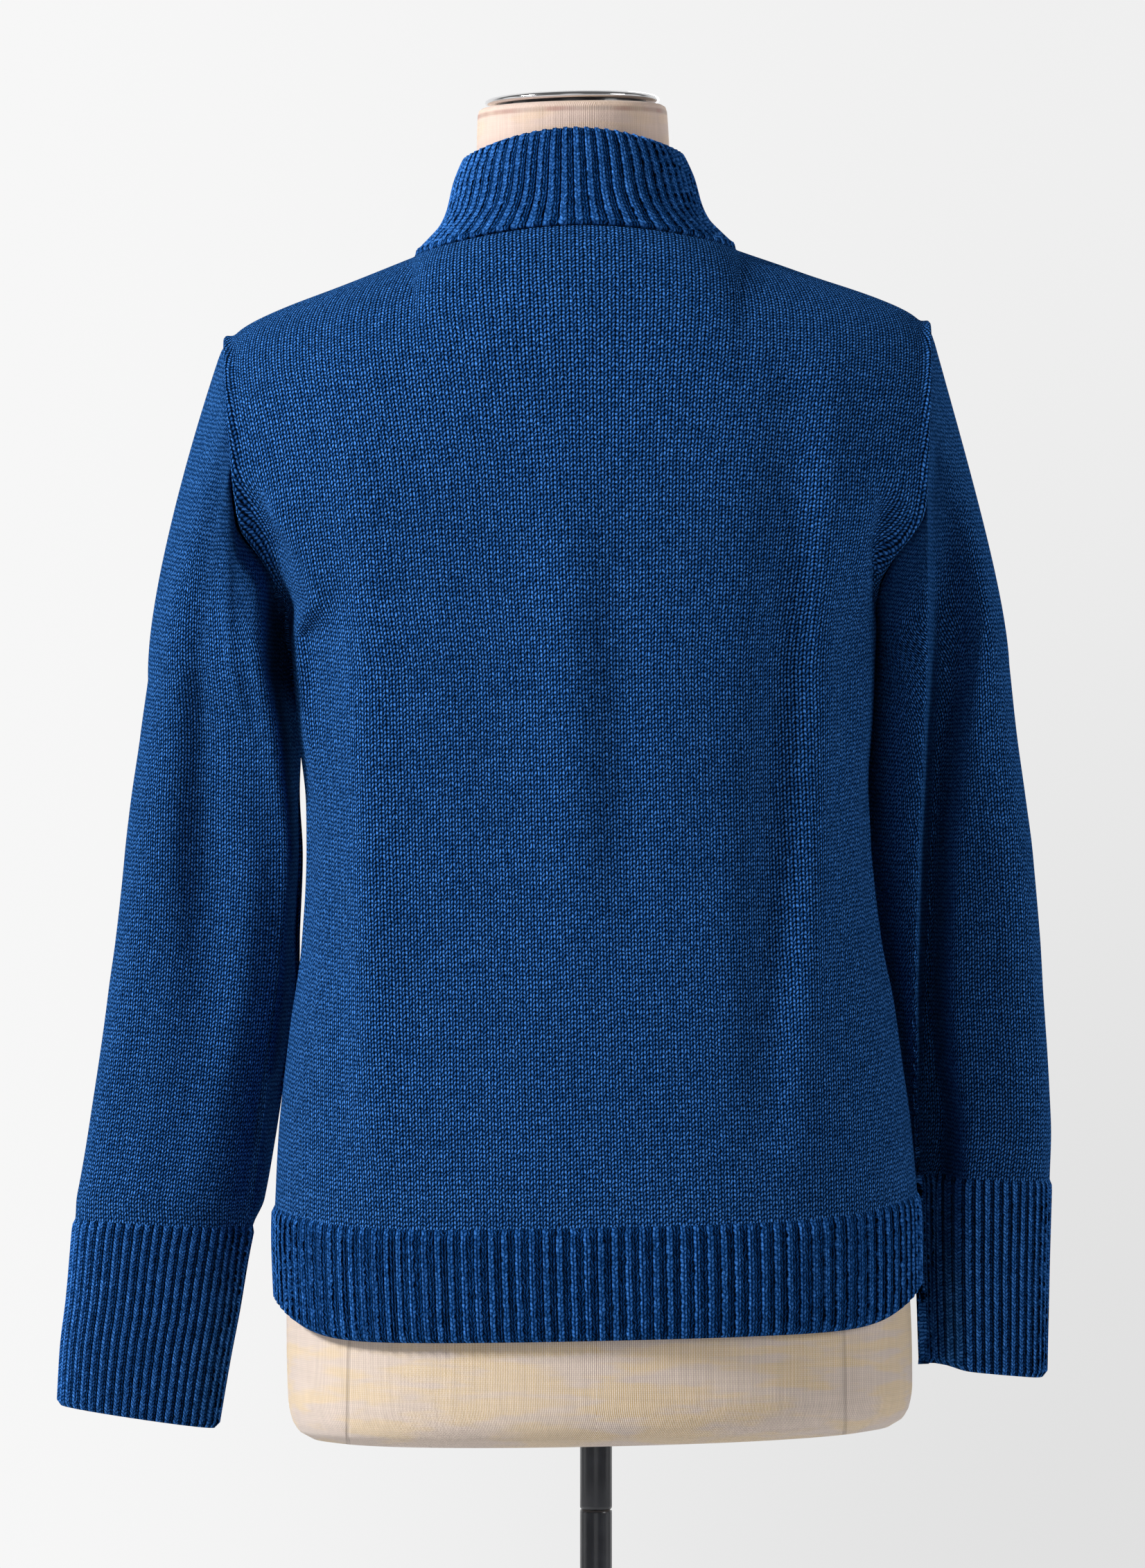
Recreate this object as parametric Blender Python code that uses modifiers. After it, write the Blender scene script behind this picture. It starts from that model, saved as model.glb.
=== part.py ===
"""A buttoned, ribbed-edged knitted cardigan on a limbless linen dress form with a round foot.

Metres, +Z up. The garment's front faces -Y and its wearer's left is +X. The origin is the middle of the
base plate's underside. Every cloth surface is worked out from the tables of sections below.
"""
from math import cos, pi, radians, sin

import bmesh
import bpy
import numpy as np
from mathutils import Vector

GAP = 0.0003            # left between two pieces that lie on each other
SEAM = 0.0006           # and between two that meet edge to edge
SHARPEST = 0.88         # cosine of half the sharpest fold that is mitred; a sharper one faces itself
KNIT = 0.0026           # thickness of the plain knit
RIB = 0.0032            # thickness of the ribbed knit
LEAN = radians(1.25)    # the form leans to the wearer's left on its pole ...
LEAN_HEIGHT = 0.650     # ... about this height

UNDERARM = 0.985        # height of the underarm
SEAM_Y = -0.005         # the shoulder seams and the neck's middle lie this far behind the middle plane
NECK_HALF = 0.095       # half the neck seam's width
NECK_BACK = 0.075       # from the neck's middle back to the seam
NECK_FRONT = 0.083      # and forward
NECK_HEIGHT = 1.2095    # the seam's height at the sides of the neck
NECK_RISE = 0.0121      # how much higher it is at the back
NECK_DROP = 0.0545      # how much lower it is at the front
COLLAR_HALF = 0.0625    # half the collar's width at its upper edge
COLLAR_BACK = 0.063     # from the middle plane back to its upper edge
COLLAR_FRONT = 0.064    # and forward
COLLAR_TALL = 0.0565    # the collar's height at the sides and the back
COLLAR_FRONT_TALL = 0.070

BAND_HALF = 0.0155      # half the width of the button band
LAP = 0.004             # how far the outer band laps on to the front it is sewn to
SHOULDER_SQUARE = 2.4
HEM_BOTTOM = 0.5738     # the hem's edge at the middle of the back and front
HEM_LIFT = 0.0217       # how much higher it is at the side seams, where it rounds up
HEM_TOP = 0.6395        # the top of the hem's ribbing

BUTTONS = 8
BUTTON_RADIUS = 0.0095
BUTTON_THICK = 0.0034
BUTTON_REST = 0.0006    # more room under a button, because the band is curved
LOWEST_BUTTON = 0.600
BUTTON_STEP = 0.0850

POLE_RADIUS = 0.0095
POLE_JOINT = 0.466      # where the lower length of pole meets the upper one
FORM_BOTTOM = 0.511
NECK_TOP = 1.2950
CAP_RADIUS = 0.0516
CAP_THICK = 0.0058
BASE_RADIUS = 0.170
BASE_THICK = 0.008
HUB_RADIUS = 0.024
HUB_HEIGHT = 0.022


def table(names, *rows):
    """A small table whose columns are read by name."""
    return dict(zip(names.split(), np.array(rows, dtype=float).T))


# The garment's body from the hem to the underarm: half its width, and its depth behind and before.
BODY = table(
    "height  half    back    front   square",
    (0.573, 0.1885, 0.1215, 0.1215, 2.30),
    (0.592, 0.1900, 0.1240, 0.1240, 2.30),
    (0.630, 0.1907, 0.1245, 0.1245, 2.30),
    (0.662, 0.1890, 0.1230, 0.1240, 2.30),
    (0.695, 0.1865, 0.1205, 0.1235, 2.30),
    (0.727, 0.1825, 0.1180, 0.1230, 2.35),
    (0.760, 0.1775, 0.1150, 0.1225, 2.40),
    (0.800, 0.1700, 0.1115, 0.1225, 2.45),
    (0.857, 0.1652, 0.1095, 0.1250, 2.50),
    (0.884, 0.1648, 0.1105, 0.1270, 2.50),
    (0.934, 0.1700, 0.1140, 0.1300, 2.45),
    (0.985, 0.1735, 0.1170, 0.1280, 2.40))

# The body above the underarm. rise runs from 0 there to 1 at the shoulder and neck seams.
# turn says how far the section has turned to the side at its end: 2.4 is all the way, 1 is hardly.
UPPER = table(
    "rise  half    back_edge front_edge back_middle front_middle turn",
    (0.00, 0.1735,  0.0000,  0.0000,    0.1170,    -0.1280,      2.4),
    (0.09, 0.1722,  0.0300, -0.0300,    0.1175,    -0.1270,      1.9),
    (0.21, 0.1814,  0.0500, -0.0500,    0.1180,    -0.1250,      1.4),
    (0.38, 0.2010,  0.0640, -0.0660,    0.1175,    -0.1220,      1.1),
    (0.70, 0.2055,  0.0560, -0.0600,    0.1110,    -0.1130,      1.0),
    (0.87, 0.2075,  0.0340, -0.0380,    0.0945,    -0.1020,      1.0),
    (0.95, 0.2086,  0.0150, -0.0210,    0.0820,    -0.0945,      1.0),
    (1.00, 0.2093, -0.0050, -0.0050,    0.0700,    -0.0880,      1.0))

# The shoulder seam: its height at each distance from the garment's middle.
SHOULDER = table(
    "out    height",
    (0.0950, 1.2095),
    (0.1330, 1.1955),
    (0.1810, 1.1785),
    (0.1980, 1.1705),
    (0.2093, 1.1610))

# How the collar draws in from the neck seam (spread 1) to its upper edge (spread 0).
COLLAR = table(
    "up    spread",
    (0.00, 1.000),
    (0.15, 0.720),
    (0.30, 0.480),
    (0.45, 0.355),
    (0.75, 0.215),
    (0.90, 0.100),
    (1.00, 0.000))

# The sleeves below the underarm, cuffs included: the ring's middle out from the garment's middle and
# behind its middle plane, its half width and half depth, how far its outer side is tipped up, in
# degrees, and the depth and place of the long fold down its back, where 0 is out and 90 behind.
SLEEVE = "height  out     behind   half    deep    tip   fold    fold_at"
LEFT_SLEEVE = table(
    SLEEVE,
    (0.524, 0.2759, -0.0360, 0.0474, 0.0210,  9.7, 0.0000, 100),
    (0.562, 0.2707, -0.0360, 0.0494, 0.0225,  7.8, 0.0000, 100),
    (0.588, 0.2660, -0.0360, 0.0503, 0.0240,  6.5, 0.0000, 100),
    (0.639, 0.2578, -0.0360, 0.0528, 0.0290,  4.2, 0.0000, 100),
    (0.654, 0.2535, -0.0360, 0.0556, 0.0315,  3.5, 0.0005, 100),
    (0.722, 0.2407, -0.0355, 0.0558, 0.0345,  2.0, 0.0020, 100),
    (0.776, 0.2314, -0.0340, 0.0564, 0.0380,  1.0, 0.0030,  95),
    (0.808, 0.2274, -0.0320, 0.0552, 0.0410,  0.5, 0.0035,  90),
    (0.857, 0.2224, -0.0250, 0.0535, 0.0460,  0.0, 0.0035,  85),
    (0.889, 0.2207, -0.0200, 0.0506, 0.0500,  0.0, 0.0030,  80),
    (0.931, 0.2176, -0.0120, 0.0462, 0.0560,  0.0, 0.0020,  75),
    (0.962, 0.2168, -0.0050, 0.0415, 0.0620,  0.0, 0.0010,  70))
RIGHT_SLEEVE = table(
    SLEEVE,
    (0.541, 0.2289, -0.0340, 0.0362, 0.0350, -6.6, 0.0000, 120),
    (0.598, 0.2297, -0.0340, 0.0378, 0.0365, -4.8, 0.0000, 120),
    (0.656, 0.2311, -0.0340, 0.0392, 0.0385, -2.8, 0.0010, 120),
    (0.680, 0.2315, -0.0340, 0.0401, 0.0400, -2.3, 0.0020, 120),
    (0.712, 0.2300, -0.0340, 0.0411, 0.0410, -2.0, 0.0040, 118),
    (0.767, 0.2250, -0.0330, 0.0437, 0.0425, -1.5, 0.0070, 112),
    (0.799, 0.2227, -0.0310, 0.0447, 0.0450, -1.0, 0.0085, 106),
    (0.848, 0.2186, -0.0240, 0.0452, 0.0490,  0.0, 0.0095,  98),
    (0.880, 0.2163, -0.0190, 0.0438, 0.0520,  0.0, 0.0095,  92),
    (0.922, 0.2137, -0.0120, 0.0412, 0.0570,  0.0, 0.0080,  85),
    (0.960, 0.2124, -0.0060, 0.0390, 0.0620,  0.0, 0.0055,  80))
CUFF_TOP = {"left": 0.639, "right": 0.656}
HEAD_BULGE = {"left": 0.006, "right": 0.002}        # how far each sleeve's head rounds outwards

# The linen form, from its rounded bottom edge to the top of its neck.
FORM = table(
    "height  half    back    front",
    (0.5110, 0.1620, 0.0950, 0.0950),
    (0.5125, 0.1710, 0.1030, 0.1030),
    (0.5165, 0.1780, 0.1095, 0.1095),
    (0.5240, 0.1825, 0.1140, 0.1140),
    (0.5360, 0.1845, 0.1160, 0.1160),
    (0.5600, 0.1848, 0.1165, 0.1165),
    (0.6000, 0.1840, 0.1165, 0.1165),
    (0.6500, 0.1825, 0.1155, 0.1160),
    (0.7000, 0.1770, 0.1115, 0.1140),
    (0.7600, 0.1620, 0.1050, 0.1100),
    (0.8200, 0.1460, 0.0980, 0.1040),
    (0.8800, 0.1370, 0.0950, 0.1020),
    (0.9400, 0.1460, 0.1000, 0.1100),
    (1.0000, 0.1560, 0.1060, 0.1180),
    (1.0500, 0.1660, 0.1070, 0.1120),
    (1.1000, 0.1740, 0.1000, 0.0980),
    (1.1300, 0.1740, 0.0880, 0.0840),
    (1.1500, 0.1680, 0.0760, 0.0730),
    (1.1680, 0.1560, 0.0600, 0.0580),
    (1.1800, 0.1380, 0.0540, 0.0530),
    (1.1930, 0.1120, 0.0540, 0.0530),
    (1.2060, 0.0840, 0.0545, 0.0535),
    (1.2200, 0.0670, 0.0545, 0.0545),
    (1.2450, 0.0580, 0.0545, 0.0545),
    (1.2950, 0.0560, 0.0550, 0.0550))
FORM_SQUARE = 2.15
FORM_SIDES = 36
FORM_ROWS = FORM["height"]

NECK_COLUMNS = 6        # columns of points from the middle of the neck to its side
SIDE_COLUMNS = np.sin(np.radians((38.0, 50.0, 61.0, 71.5, 81.0, 90.0))) ** 0.83    # and on, as shares of half
BODY_STEPS = np.linspace(0, 1, 11)[:-1]         # rows from the hem's ribbing to the underarm
RISES = np.array((0.0, 0.09, 0.21, 0.34, 0.48, 0.62, 0.74, 0.84, 0.915, 0.965, 0.992, 1.0))
HEM_STEPS = np.linspace(0, 1, 4)
COLLAR_STEPS = COLLAR["up"]


def along(rows, column, where):
    """The smooth curve through a table's column, read at `where` on its first column.

    Between two rows it is a cubic whose slope at each row is the harmonic mean of the slopes of the
    straight runs on both sides, or level where they turn.
    """
    place, value = rows[next(iter(rows))], rows[column]
    step = np.diff(place)
    slope = np.diff(value) / step
    same = slope[:-1] * slope[1:] > 0
    both = np.where(same, slope[:-1] + slope[1:], 1.0)
    tangent = np.concatenate((slope[:1], np.where(same, 2 * slope[:-1] * slope[1:] / both, 0), slope[-1:]))
    k = np.clip(np.searchsorted(place, where) - 1, 0, len(step) - 1)
    t = np.clip((where - place[k]) / step[k], 0, 1)
    return ((1 + 2 * t) * (1 - t) ** 2 * value[k] + t * (1 - t) ** 2 * step[k] * tangent[k]
            + t * t * (3 - 2 * t) * value[k + 1] - t * t * (1 - t) * step[k] * tangent[k + 1])


def round_off(share, square, turn):
    """How deep a rounded section still is at a share of its half width: 1 in the middle, 0 at its end."""
    return (1 - np.clip(np.abs(share), 0, 1) ** square) ** (1 / turn)


def lean(points):
    """Turns points about the Y direction, at the height where the form is carried."""
    x, y, z = np.moveaxis(points, -1, 0)
    up = z - LEAN_HEIGHT
    return np.stack((x * cos(LEAN) + up * sin(LEAN), y, LEAN_HEIGHT + up * cos(LEAN) - x * sin(LEAN)), -1)


# ---- outer surfaces of the garment

def neck_seam(angle):
    """The neck seam, by angle from the middle of the back (0) over the side (90) to the front (180)."""
    ahead = np.cos(angle) < 0
    y = SEAM_Y + np.where(ahead, NECK_FRONT, NECK_BACK) * np.cos(angle)
    z = NECK_HEIGHT + np.where(ahead, -NECK_DROP, NECK_RISE) * np.cos(angle) ** 2
    return np.stack((NECK_HALF * np.sin(angle), y, z), -1)


def top_edge(x, ahead):
    """A panel's upper edge at a distance from the middle: the neck seam, then the shoulder seam."""
    inside = np.arcsin(np.clip(np.abs(x) / NECK_HALF, 0, 1))
    neck = neck_seam(pi - inside if ahead else inside)
    on_neck = np.abs(x) < NECK_HALF
    y = np.where(on_neck, neck[..., 1], SEAM_Y)
    z = np.where(on_neck, neck[..., 2], along(SHOULDER, "height", np.abs(x)))
    return y, z


def lower_body(x, height, ahead):
    """The body up to the underarm, by distance from the middle and height."""
    deep = -along(BODY, "front", height) if ahead else along(BODY, "back", height)
    square = along(BODY, "square", height)
    y = deep * round_off(x / along(BODY, "half", height), square, square)
    return np.stack(np.broadcast_arrays(x, y, height), -1)


def upper_body(x, last_x, rise, ahead):
    """The body from the underarm to the shoulder, by distance from the middle at the rise and at its end.

    The section at each rise is bent on to the upper edge along an arc that is nearly level at the seam,
    so the cloth turns over the shoulder.
    """
    face = "front" if ahead else "back"
    edge, middle = along(UPPER, face + "_edge", rise), along(UPPER, face + "_middle", rise)
    share = x / along(UPPER, "half", rise)
    y = edge + (middle - edge) * round_off(share, SHOULDER_SQUARE, along(UPPER, "turn", rise))
    last_middle = UPPER[face + "_middle"][-1]
    last_y = SEAM_Y + (last_middle - SEAM_Y) * round_off(last_x / UPPER["half"][-1], SHOULDER_SQUARE, 1)
    top_y, top_z = top_edge(last_x, ahead)
    bent = 1 - np.sqrt(1 - rise ** 6)
    z = UNDERARM + (top_z - UNDERARM) * rise
    return np.stack(np.broadcast_arrays(x, y + (top_y - last_y) * bent, z), -1)


def collar(angle, up):
    """The collar by angle round the neck and share of its height: it flares out on to the seam."""
    low = neck_seam(angle)
    ahead = np.cos(angle) < 0
    tall = COLLAR_TALL + (COLLAR_FRONT_TALL - COLLAR_TALL) * np.where(ahead, np.cos(angle) ** 2, 0)
    spread = along(COLLAR, "spread", up)
    near_y = np.where(ahead, COLLAR_FRONT, COLLAR_BACK) * np.cos(angle)
    x = collar_half(up) * np.sin(angle)
    y = near_y + (low[..., 1] - near_y) * spread
    return np.stack((x, y, low[..., 2] + tall * up), -1)


def collar_half(up):
    return COLLAR_HALF + (NECK_HALF - COLLAR_HALF) * along(COLLAR, "spread", up)


def hem_edges(x):
    """The hem's lower edge and the top of its ribbing at a distance from the middle."""
    out = np.clip(np.abs(x) / BODY["half"].max(), 0, 1)
    return HEM_BOTTOM + HEM_LIFT * out ** 12, HEM_TOP + 0 * out


def sleeve(rows, angle, height):
    """A sleeve's ring at a height: a rounded section, tipped, with the long fold pressed into its back."""
    half, deep = along(rows, "half", height), along(rows, "deep", height)
    fold = along(rows, "fold", height)
    off = (np.degrees(angle) - along(rows, "fold_at", height)) / 24.0
    pressed = fold * np.exp(-off ** 2)
    across = (half - pressed) * np.sign(np.cos(angle)) * np.abs(np.cos(angle)) ** 0.9
    behind = (deep - pressed) * np.sign(np.sin(angle)) * np.abs(np.sin(angle)) ** 0.9
    tip = np.radians(along(rows, "tip", height))
    x = along(rows, "out", height) + across * np.cos(tip)
    return np.stack(np.broadcast_arrays(x, along(rows, "behind", height) + behind,
                                        height + across * np.sin(tip)), -1)


# ---- grids of points, one for each piece of cloth: rows run up, columns across

def panel_shares(inner):
    """Shares of a half panel's width, through the columns of the neck and on to the side."""
    half = UPPER["half"][-1]
    neck = NECK_HALF * np.sin(np.linspace(np.arcsin(inner / NECK_HALF), pi / 2, NECK_COLUMNS))
    return (np.concatenate((neck, half * SIDE_COLUMNS)) - inner) / (half - inner)


def body_x(half, share, inner):
    return inner + (half - inner) * share


def panel_grid(ahead, inner=0.0):
    """A half panel from the top of the hem's ribbing to the shoulder."""
    share = panel_shares(inner)[None]
    start = hem_edges(BODY["half"].max() * share)[1]
    height = start + (UNDERARM - start) * BODY_STEPS[:, None]
    low = lower_body(body_x(along(BODY, "half", height), share, inner), height, ahead)
    rise = RISES[:, None]
    last = body_x(UPPER["half"][-1], share, inner)
    return np.concatenate((low, upper_body(body_x(along(UPPER, "half", rise), share, inner), last, rise, ahead)))


def hem_grid(ahead, inner=0.0):
    share = panel_shares(inner)[None]
    bottom, top = hem_edges(BODY["half"].max() * share)
    height = bottom + (top - bottom) * HEM_STEPS[:, None]
    return lower_body(body_x(along(BODY, "half", height), share, inner), height, ahead)


def mirrored(grid):
    return grid[:, ::-1] * (-1, 1, 1)


def whole(half_grid):
    """A panel that runs over the middle, from the wearer's right to left."""
    return np.concatenate((mirrored(half_grid)[:, :-1], half_grid), 1)


def collar_grid(inner):
    """The collar from one front edge round the back to the other; those edges stay upright."""
    up = COLLAR_STEPS[:, None]
    first = np.arcsin(inner / collar_half(up))
    share = np.linspace(0, 1, NECK_COLUMNS)[None]
    front = pi - (first + (pi / 2 - first) * share)
    half = np.concatenate((np.broadcast_to(share * pi / 2, front.shape), front[:, -2::-1]), 1)
    angle = np.concatenate((-half[:, :0:-1], half), 1)
    return collar(angle, np.broadcast_to(up, angle.shape))


def band_grid(columns):
    """The front's middle from the hem's edge to the collar's, at the given distances from the middle."""
    x = np.array(columns)[None]
    bottom, top = hem_edges(BAND_HALF)
    height = np.concatenate((bottom + (top - bottom) * HEM_STEPS[:-1], top + (UNDERARM - top) * BODY_STEPS))
    low = lower_body(x, height[:, None], True)
    middle = upper_body(x, x, RISES[:, None], True)
    up = COLLAR_STEPS[1:, None]
    high = collar(pi - np.arcsin(x / collar_half(up)), up + 0 * x)
    return np.concatenate((low, middle, high))


def armhole(back, front):
    """The panels' outer edges from the underarm up behind, over the shoulder and down before."""
    return np.concatenate((back[-len(RISES):, -1], front[-len(RISES):, -1][::-1][1:-1]))


def ring_angles(edge):
    """An angle on the sleeve for each point of the armhole, by the length along it: 180 at the underarm."""
    step = np.linalg.norm(np.roll(edge, -1, 0) - edge, axis=1)
    run = np.concatenate(([0], np.cumsum(step)))
    top = run[len(RISES) - 1]
    behind = run[:-1] <= top
    return np.where(behind, pi * (1 - run[:-1] / top), -pi * (run[:-1] - top) / (run[-1] - top))


def sleeve_grid(rows, edge, cuff_top, bulge):
    """A sleeve from its cuff to the armhole, in rings. Above the underarm nearly straight lines lead to
    the armhole's edge, and the outer ones round outwards."""
    height = np.linspace(cuff_top, rows["height"][-1], 11)[:, None]
    angle = ring_angles(edge)
    tube = sleeve(rows, angle[None], height)
    left = 1 - np.linspace(0, 1, 6)[1:, None, None]
    head = edge + (tube[-1] - edge) * left
    head[..., 0] += (bulge * 4 * left * (1 - left))[..., 0] * np.clip(np.cos(angle), 0, 1)
    return np.concatenate((tube, head))


def cuff_grid(rows, edge, cuff_top):
    height = rows["height"][0] + (cuff_top - rows["height"][0]) * HEM_STEPS[:, None]
    return sleeve(rows, ring_angles(edge)[None], height)


# ---- from grids to solids

def surface_normals(grid, ring):
    """Unit normals that point away from the middle of each row."""
    wide = np.concatenate((grid[:, -1:], grid, grid[:, :1]), 1) if ring else grid
    across = np.gradient(wide, axis=1)
    across = across[:, 1:-1] if ring else across
    normal = np.cross(across, np.gradient(grid, axis=0))
    normal /= np.linalg.norm(normal, axis=-1, keepdims=True)
    outward = np.sum(normal * (grid - grid.mean(1, keepdims=True)))
    return normal * np.sign(outward)


def shared_normals(grids, normals):
    """Where pieces meet, the mean of their normals, so that their edges are mitred alike."""
    points = np.concatenate([grid.reshape(-1, 3) for grid in grids])
    each = np.concatenate([normal.reshape(-1, 3) for normal in normals])
    _, owner = np.unique(np.round(points, 5), axis=0, return_inverse=True)
    total = np.zeros((owner.max() + 1, 3))
    np.add.at(total, owner.ravel(), each)
    mean = total[owner.ravel()]
    mean /= np.linalg.norm(mean, axis=1, keepdims=True)
    ends = np.cumsum([grid[..., 0].size for grid in grids])[:-1]
    return [part.reshape(grid.shape) for part, grid in zip(np.split(mean, ends), grids)]


def drawn_in(grid, ring):
    """How far each point of a piece's edge is drawn back to leave half the gap at a seam."""
    shift = np.zeros_like(grid)
    for edge, next_in in ((0, 1), (-1, -2)):
        way = grid[next_in] - grid[edge]
        shift[edge] += way / np.linalg.norm(way, axis=-1, keepdims=True)
        if not ring:
            way = grid[:, next_in] - grid[:, edge]
            shift[:, edge] += way / np.linalg.norm(way, axis=-1, keepdims=True)
    return shift * SEAM / 2


def wall_faces(rows, columns, ring):
    """Faces of a wall whose outer points are numbered first and whose inner points follow."""
    number = np.arange(rows * columns).reshape(rows, columns)
    if ring:
        number = np.concatenate((number, number[:, :1]), 1)
        edges = (number[0], number[-1][::-1])
    else:
        edges = (np.concatenate((number[0], number[1:, -1], number[-1, -2::-1], number[-2::-1, 0])),)
    outer = np.stack((number[:-1, :-1], number[:-1, 1:], number[1:, 1:], number[1:, :-1]), -1).reshape(-1, 4)
    inside = rows * columns
    rims = [np.stack((edge[1:], edge[:-1], edge[:-1] + inside, edge[1:] + inside), -1) for edge in edges]
    return np.concatenate([outer, outer[:, ::-1] + inside] + rims).tolist()


def make_object(name, mesh, material, smooth_angle=40):
    thing = bpy.data.objects.new(name, mesh)
    parts.objects.link(thing)
    mesh.materials.append(material)
    mesh.shade_smooth()
    mesh.set_sharp_from_angle(angle=radians(smooth_angle))
    return thing


def solid_of(name, points, faces, material):
    mesh = bpy.data.meshes.new(name)
    mesh.from_pydata(points.tolist(), [], faces)
    shell = bmesh.new()
    shell.from_mesh(mesh)
    bmesh.ops.recalc_face_normals(shell, faces=shell.faces)
    shell.to_mesh(mesh)
    shell.free()
    return make_object(name, mesh, material)


def cloth(name, outer, inner, ring, material):
    """A closed wall of cloth between its outer and its inner points."""
    points = lean(np.concatenate((outer.reshape(-1, 3), inner.reshape(-1, 3))))
    return solid_of(name, points, wall_faces(*outer.shape[:2], ring), material)


def surface(name, color, roughness, metallic=0.0):
    material = bpy.data.materials.new(name)
    material.use_nodes = True
    shader = material.node_tree.nodes["Principled BSDF"]
    shader.inputs["Base Color"].default_value = (*color, 1)
    shader.inputs["Roughness"].default_value = roughness
    shader.inputs["Metallic"].default_value = metallic
    return material


# ---- the garment

def make_garment():
    knit = surface("blue_knit", (0.010, 0.070, 0.250), 0.85)
    back, front = panel_grid(False), panel_grid(True, BAND_HALF)
    back_hem, front_hem = hem_grid(False), hem_grid(True, BAND_HALF)
    edge = armhole(back, front)
    pieces = {
        "back_panel": (whole(back), KNIT, False),
        "left_front": (front, KNIT, False),
        "right_front": (mirrored(front), KNIT, False),
        "back_hem_rib": (whole(back_hem), RIB, False),
        "left_front_hem_rib": (front_hem, RIB, False),
        "right_front_hem_rib": (mirrored(front_hem), RIB, False),
        "collar_rib": (collar_grid(BAND_HALF), RIB, False),
        "button_band": (band_grid((-BAND_HALF, 0, BAND_HALF)), RIB, False)}
    for side, rows, flip in (("left", LEFT_SLEEVE, 1), ("right", RIGHT_SLEEVE, -1)):
        turn = (flip, 1, 1)
        upper = sleeve_grid(rows, edge, CUFF_TOP[side], HEAD_BULGE[side])
        pieces[side + "_sleeve"] = (upper * turn, KNIT, True)
        pieces[side + "_cuff_rib"] = (cuff_grid(rows, edge, CUFF_TOP[side]) * turn, RIB, True)

    grids = [grid for grid, _, _ in pieces.values()]
    own = [surface_normals(grid, ring) for grid, _, ring in pieces.values()]
    shared = shared_normals(grids, own)
    for (name, (grid, thick, ring)), mine, common in zip(pieces.items(), own, shared):
        alike = np.sum(mine * common, -1, keepdims=True)
        inward = np.where(alike > SHARPEST, common / np.maximum(alike, SHARPEST), mine)
        outer = grid + drawn_in(grid, ring)
        cloth(name, outer, outer - inward * thick, ring, knit)

    lap = band_grid((-BAND_HALF - LAP, -BAND_HALF, 0, BAND_HALF))
    away = surface_normals(lap, False)
    cloth("buttonhole_band", lap + away * (GAP + RIB), lap + away * GAP, False, knit)
    add_buttons(lap[:, 2], away[:, 2])


def add_buttons(middle, away):
    """Round buttons down the middle of the front, each flat on the outer band."""
    horn = surface("blue_button", (0.012, 0.040, 0.120), 0.35)
    for number in range(BUTTONS):
        height = LOWEST_BUTTON + number * BUTTON_STEP
        spot, normal = (np.array([np.interp(height, middle[:, 2], part[:, k]) for k in range(3)])
                        for part in (middle, away))
        normal = turned(normal / np.linalg.norm(normal))
        place = lean(spot) + normal * (RIB + 2 * GAP + BUTTON_REST + BUTTON_THICK / 2)
        button = cylinder(f"button_{number + 1}", BUTTON_RADIUS, BUTTON_THICK, place, horn, 0.0008, 16, 1)
        button.rotation_euler = Vector(normal).to_track_quat("Z", "Y").to_euler()


def turned(direction):
    """A direction after the lean."""
    return lean(direction + (0, 0, LEAN_HEIGHT)) - (0, 0, LEAN_HEIGHT)


def cylinder(name, radius, length, place, material, rounding, sides, steps):
    bpy.ops.mesh.primitive_cylinder_add(vertices=sides, radius=radius, depth=length, location=place)
    made = bpy.context.object
    bpy.context.collection.objects.unlink(made)
    parts.objects.link(made)
    made.name = name
    made.data.materials.append(material)
    made.data.shade_smooth()
    made.data.set_sharp_from_angle(angle=radians(40))
    bevel = made.modifiers.new("rounded", "BEVEL")
    bevel.width, bevel.segments = rounding, steps
    return made


# ---- what it stands on

def make_form():
    """The torso and neck in one closed body: rings of points, with a flat face at each end."""
    linen = surface("linen", (0.56, 0.45, 0.34), 0.9)
    height = FORM_ROWS[:, None]
    angle = np.linspace(0, 2 * pi, FORM_SIDES, endpoint=False)[None]
    power = 2 / FORM_SQUARE
    x = along(FORM, "half", height) * np.sign(np.cos(angle)) * np.abs(np.cos(angle)) ** power
    deep = np.where(np.sin(angle) > 0, along(FORM, "back", height), along(FORM, "front", height))
    y = deep * np.sign(np.sin(angle)) * np.abs(np.sin(angle)) ** power
    rings = np.stack(np.broadcast_arrays(x, y, height), -1)
    number = np.arange(rings[..., 0].size).reshape(rings.shape[:2])
    joined = np.concatenate((number, number[:, :1]), 1)
    sides = np.stack((joined[:-1, :-1], joined[:-1, 1:], joined[1:, 1:], joined[1:, :-1]), -1).reshape(-1, 4)
    faces = sides.tolist() + [number[0][::-1].tolist(), number[-1].tolist()]
    solid_of("linen_form", lean(rings.reshape(-1, 3)), faces, linen)

    chrome = surface("chrome", (0.80, 0.80, 0.80), 0.08, 1.0)
    place = lean(np.array((0, 0, NECK_TOP + GAP + CAP_THICK / 2)))
    cap = cylinder("neck_cap", CAP_RADIUS, CAP_THICK, place, chrome, 0.0018, 48, 2)
    cap.rotation_euler = (0, LEAN, 0)


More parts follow.
